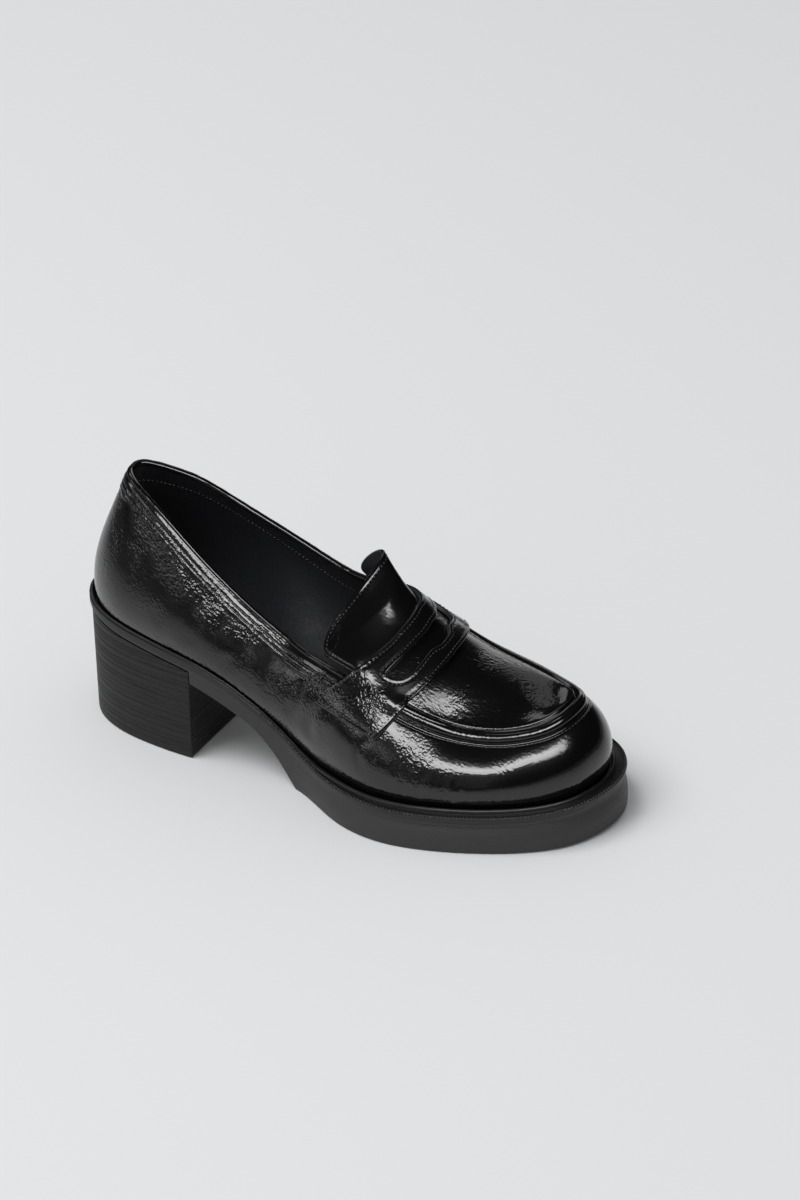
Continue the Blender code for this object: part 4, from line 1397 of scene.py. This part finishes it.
def buildHeel():
    form = heelForm
    sections = spaced(0.0, form["front"], 64, 0.3)
    turns = np.concatenate([sections, loopCount - sections[-1:0:-1]])
    middle = len(sections)
    across = np.linspace(0.0, 1.0, 24)[1:-1, None]

    def topAt(x):
        return seatHeight(x) - last["seatThickness"] - last["fitGap"]

    def withBreast(edge):
        # the breast's straight line between the lateral and the medial end of the edge
        line = edge[middle - 1] + (edge[middle] - edge[middle - 1]) * across
        return np.vstack([edge[:middle], line, edge[middle:]])

    highest = float(topAt(np.array([0.0]))[0])
    layer = (highest - form["topPiece"]) / form["layers"]
    heights = [0.0, form["bevel"]]
    cuts = [0.0, 0.0]
    for k in range(form["layers"] + 1):
        z = form["topPiece"] + k * layer
        depth = form["groove"] * (1.0 + 0.5 * math.sin(2.3 * k))
        for offset, cut in ((-form["groove"], 0.0), (0.0, depth), (form["groove"], 0.0)):
            heights.append(z + offset)
            cuts.append(cut)
    heights.append(highest + form["overlap"])
    cuts.append(0.0)
    rings = []
    for index, (z, cut) in enumerate(zip(heights, cuts)):
        taper = form["taper"] * (1.0 - min(z / highest, 1.0))
        bevel = form["bevel"] if index == 0 else 0.0
        ring = withBreast(rimEdge(turns, form["inset"] + taper + bevel))
        cutRing = withBreast(rimEdge(turns, form["inset"] + taper + bevel + cut))
        cutRing[middle:middle + len(across), 0] -= cut + bevel
        ring[middle:middle + len(across), 0] -= bevel
        limit = topAt(ring[:, 0])
        clamped = z >= limit
        cutRing[clamped] = ring[clamped]
        cutRing[:, 2] = np.minimum(z, limit)
        rings.append(cutRing)
    count = len(rings[0])
    faces = loopFaces(len(rings), count, False)
    faces.append(tuple(range(count))[::-1])
    faces.append(tuple((len(rings) - 1) * count + i for i in range(count)))
    piece = meshPiece("heelStack", np.vstack(rings), faces, [stack], sharp=35)
    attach(piece, "root")
    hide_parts("heel")
    print("heel", len(piece.data.polygons), "faces")


insoleForm = {
    "thickness": 2.0 * mm,
    "clearance": 0.8 * mm,
    "bevel": 0.4 * mm,
    "columns": 26,
}


def buildInsole():
    form = insoleForm
    turns = roundTurns(spaced(0.0, toeSection, 130, 0.15))
    base = loopValues(turns)[:, 6] + last["wall"] + form["clearance"]
    rings = []
    for extra, height in ((form["bevel"], form["thickness"]), (0.0, form["thickness"] - form["bevel"]),
                          (0.0, 0.0)):
        ring = rimEdge(turns, base + extra)
        ring[:, 2] = seatHeight(ring[:, 0]) + last["fitGap"] + height
        rings.append(ring)
    count = len(turns)
    points = list(np.vstack(rings))
    faces = loopFaces(len(rings), count, False)
    for start, height in ((0, form["thickness"]), (2 * count, 0.0)):
        faces += fillRing(points, start, count, form["columns"],
                          lambda x, i: seatHeight(x) + last["fitGap"] + height)
    piece = meshPiece("sockLining", points, faces, [sock], sharp=50)
    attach(piece, "root")
    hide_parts("insole")
    print("insole", len(piece.data.polygons), "faces")


buildWelt()
buildOutsole()
buildHeel()
buildInsole()


# Stitches and the welt's wheel marks, one tree that lays rounded beads along paths

def beadTree():
    tree = bpy.data.node_groups.new("beadsAlongPath", "GeometryNodeTree")
    sockets = (("Paths", "INPUT", "Geometry"), ("Pitch", "INPUT", "Float"),
               ("Half Length", "INPUT", "Float"), ("Radius", "INPUT", "Float"),
               ("Look", "INPUT", "Material"), ("Beads", "OUTPUT", "Geometry"))
    for name, way, kind in sockets:
        tree.interface.new_socket(name=name, in_out=way, socket_type="NodeSocket" + kind)
    make = tree.nodes.new
    given, result = make("NodeGroupInput"), make("NodeGroupOutput")
    curve, resample = make("GeometryNodeMeshToCurve"), make("GeometryNodeResampleCurve")
    resample.mode = "LENGTH"
    aim = make("GeometryNodeInputNamedAttribute")
    aim.data_type = "FLOAT_VECTOR"
    aim.inputs["Name"].default_value = "aim"
    turn = make("FunctionNodeAlignRotationToVector")
    turn.axis = "X"
    ball = make("GeometryNodeMeshUVSphere")
    for name, number in (("Segments", 8), ("Rings", 5), ("Radius", 1.0)):
        ball.inputs[name].default_value = number
    size, shaped = make("ShaderNodeCombineXYZ"), make("GeometryNodeTransform")
    place, real = make("GeometryNodeInstanceOnPoints"), make("GeometryNodeRealizeInstances")
    smooth, finish = make("GeometryNodeSetShadeSmooth"), make("GeometryNodeSetMaterial")
    links = (
        (given, "Paths", curve, "Mesh"), (curve, "Curve", resample, "Curve"),
        (given, "Pitch", resample, "Length"), (resample, "Curve", place, "Points"),
        (given, "Half Length", size, "X"), (given, "Radius", size, "Y"), (given, "Radius", size, "Z"),
        (ball, "Mesh", shaped, "Geometry"), (size, "Vector", shaped, "Scale"),
        (shaped, "Geometry", place, "Instance"), (aim, "Attribute", turn, "Vector"),
        (turn, "Rotation", place, "Rotation"), (place, "Instances", smooth, "Geometry"),
        (smooth, "Geometry", real, "Geometry"), (real, "Geometry", finish, "Geometry"),
        (given, "Look", finish, "Material"), (finish, "Geometry", result, "Beads"),
    )
    for source, output, target, socket in links:
        tree.links.new(source.outputs[output], target.inputs[socket])
    return tree


beads = beadTree()


def beadPiece(name, paths, pitch, length, radius, look, aims=None):
    points, edges, directions = [], [], []
    for index, path in enumerate(paths):
        path = np.asarray(path) - centre3
        start = len(points)
        points.extend(path.tolist())
        edges.extend((start + i, start + i + 1) for i in range(len(path) - 1))
        directions.extend(unit(np.gradient(path, axis=0)) if aims is None else aims[index])
    mesh = bpy.data.meshes.new(name)
    mesh.from_pydata(points, edges, [])
    aim = mesh.attributes.new("aim", "FLOAT_VECTOR", "POINT")
    aim.data.foreach_set("vector", np.asarray(directions, np.float32).ravel())
    piece = bpy.data.objects.new(name, mesh)
    bpy.context.scene.collection.objects.link(piece)
    modifier = piece.modifiers.new("beads", "NODES")
    modifier.node_group = beads
    values = {"Pitch": pitch, "Half Length": length / 2.0, "Radius": radius, "Look": look}
    for item in beads.interface.items_tree:
        if item.in_out == "INPUT" and item.name in values:
            modifier[item.identifier] = values[item.name]
    evaluated = piece.evaluated_get(bpy.context.evaluated_depsgraph_get())
    plain = bpy.data.meshes.new_from_object(evaluated)
    piece.modifiers.clear()
    piece.data = plain
    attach(piece, "root")
    print(name, len(plain.polygons), "faces")


stitchForm = {
    "pitch": 1.9 * mm,
    "length": 1.20 * mm,
    "radius": 0.27 * mm,
    "proud": 0.10 * mm,
    # how high the stitched faces lie there, from the wall, the tongue or the lining
    "collarFace": 0.20 * mm,
    "seamFace": -0.27 * mm,
    "tongueFace": -0.15 * mm,
    "liningFace": 0.06 * mm,
    "liningDepth": 10.5 * mm,
    # turns where the rows end, on both sides of the heel or of the toe
    "collarEnd": 8.95,
    "seamEnd": 9.9,
    "liningEnd": 8.2,
}


def wallPath(turns, depth, lift):
    def surface(turn, below):
        return wallAt(turn, below)[0]

    normal = -surfaceNormal(surface, turns, np.full(len(turns), depth), (0.02, 0.3 * mm))
    return surface(turns, depth) + normal * lift


def strapPath(places, shares):
    sections, spread = strapSpot(places, shares)
    normal = surfaceNormal(lastPoint, sections, spread)
    lift = strapForm["gap"] + strapForm["thickness"] + ridgeLift(sections, spread)
    lift = lift - strapForm["stitchGroove"]
    return lastPoint(sections, spread) + normal * (lift + stitchForm["proud"])[:, None]


def strapPaths():
    end, stitchIn = strapForm["end"], strapForm["stitchIn"]
    places = np.linspace(-end + strapForm["endMargin"], end - strapForm["endMargin"], 160)
    middle = lastPoint(*strapSpot(places, np.full(len(places), 0.0)))
    width = np.linalg.norm(lastPoint(*strapSpot(places, np.ones(len(places)))) - middle, axis=1)
    inset = stitchIn / width
    paths = [strapPath(places, inset), strapPath(places, 1.0 - inset)]
    for side in (-1.0, 1.0):
        shares = np.linspace(float(inset[0]), 1.0 - float(inset[0]), 24)
        paths.append(strapPath(np.full(len(shares), side * (end - strapForm["endStitch"])), shares))
    slotEnd = strapForm["slotEnd"]
    half = slotEnd * np.sin(np.linspace(-math.pi / 2, math.pi / 2, 80))
    scale = (slotEnd + strapForm["slotMargin"]) / slotEnd
    span = np.interp(np.abs(half * scale), places[places > 0], width[places > 0])
    for column, way in ((1, -1.0), (2, 1.0)):
        shares = alongPlaces(slotRows, column, half) + way * stitchIn / span
        paths.append(strapPath(half * scale, shares))
    return paths


def tonguePath():
    reach, height = tongueForm["stitchTop"]
    down = np.linspace(*tongueForm["stitchDown"], 40)
    side = np.full(len(down), tongueForm["stitchSide"])
    top = np.linspace(-reach, reach, 70)
    across = np.concatenate([-side, top, side])
    share = np.concatenate([down, np.full(len(top), height), down[::-1]])
    sections, spread = tongueSpot(across, share)
    normal = surfaceNormal(tonguePoint, sections, spread)
    return tonguePoint(sections, spread) + normal * (stitchForm["proud"] + stitchForm["tongueFace"])


def buildStitches():
    form, upper = stitchForm, upperForm
    collar = []
    for row in upper["collarRows"]:
        turns = np.linspace(-form["collarEnd"], form["collarEnd"], 420)
        collar.append(wallPath(turns, row * mm, form["collarFace"] + form["proud"]))
    turns = np.linspace(form["seamEnd"], loopCount - form["seamEnd"], 300)
    seam = wallPath(turns, -upper["stitchGroove"][0] * mm, form["seamFace"] + form["proud"])
    turns = np.linspace(-form["liningEnd"], form["liningEnd"], 360)
    inside = wallPath(turns, form["liningDepth"], form["liningFace"] - last["wall"])
    rows = (
        ("collarStitches", collar, "patent_leather"),
        ("apronStitches", [seam], "patent_leather"),
        ("strapStitches", strapPaths(), "patent_leather"),
        ("tongueStitches", [tonguePath()], "patent_leather"),
        ("liningStitches", [inside], "lining_leather"),
    )
    for name, paths, slotName in rows:
        beadPiece(name, paths, form["pitch"], form["length"], form["radius"], thread)


def buildWheelMarks():
    form = weltForm
    turns = np.linspace(form["ribFrom"], loopCount - form["ribFrom"], 700)
    _, ledge, normal = weltRings(turns)
    path = ledge - normal * form["ribInset"] - np.array([0.0, 0.0, form["ribInset"]])
    aims = normal - np.array([0.0, 0.0, form["ribLean"]])
    beadPiece("weltWheelMarks", [path], form["ribPitch"], form["ribLength"], form["ribRadius"], weltRubber,
              [aims])


buildStitches()
buildWheelMarks()
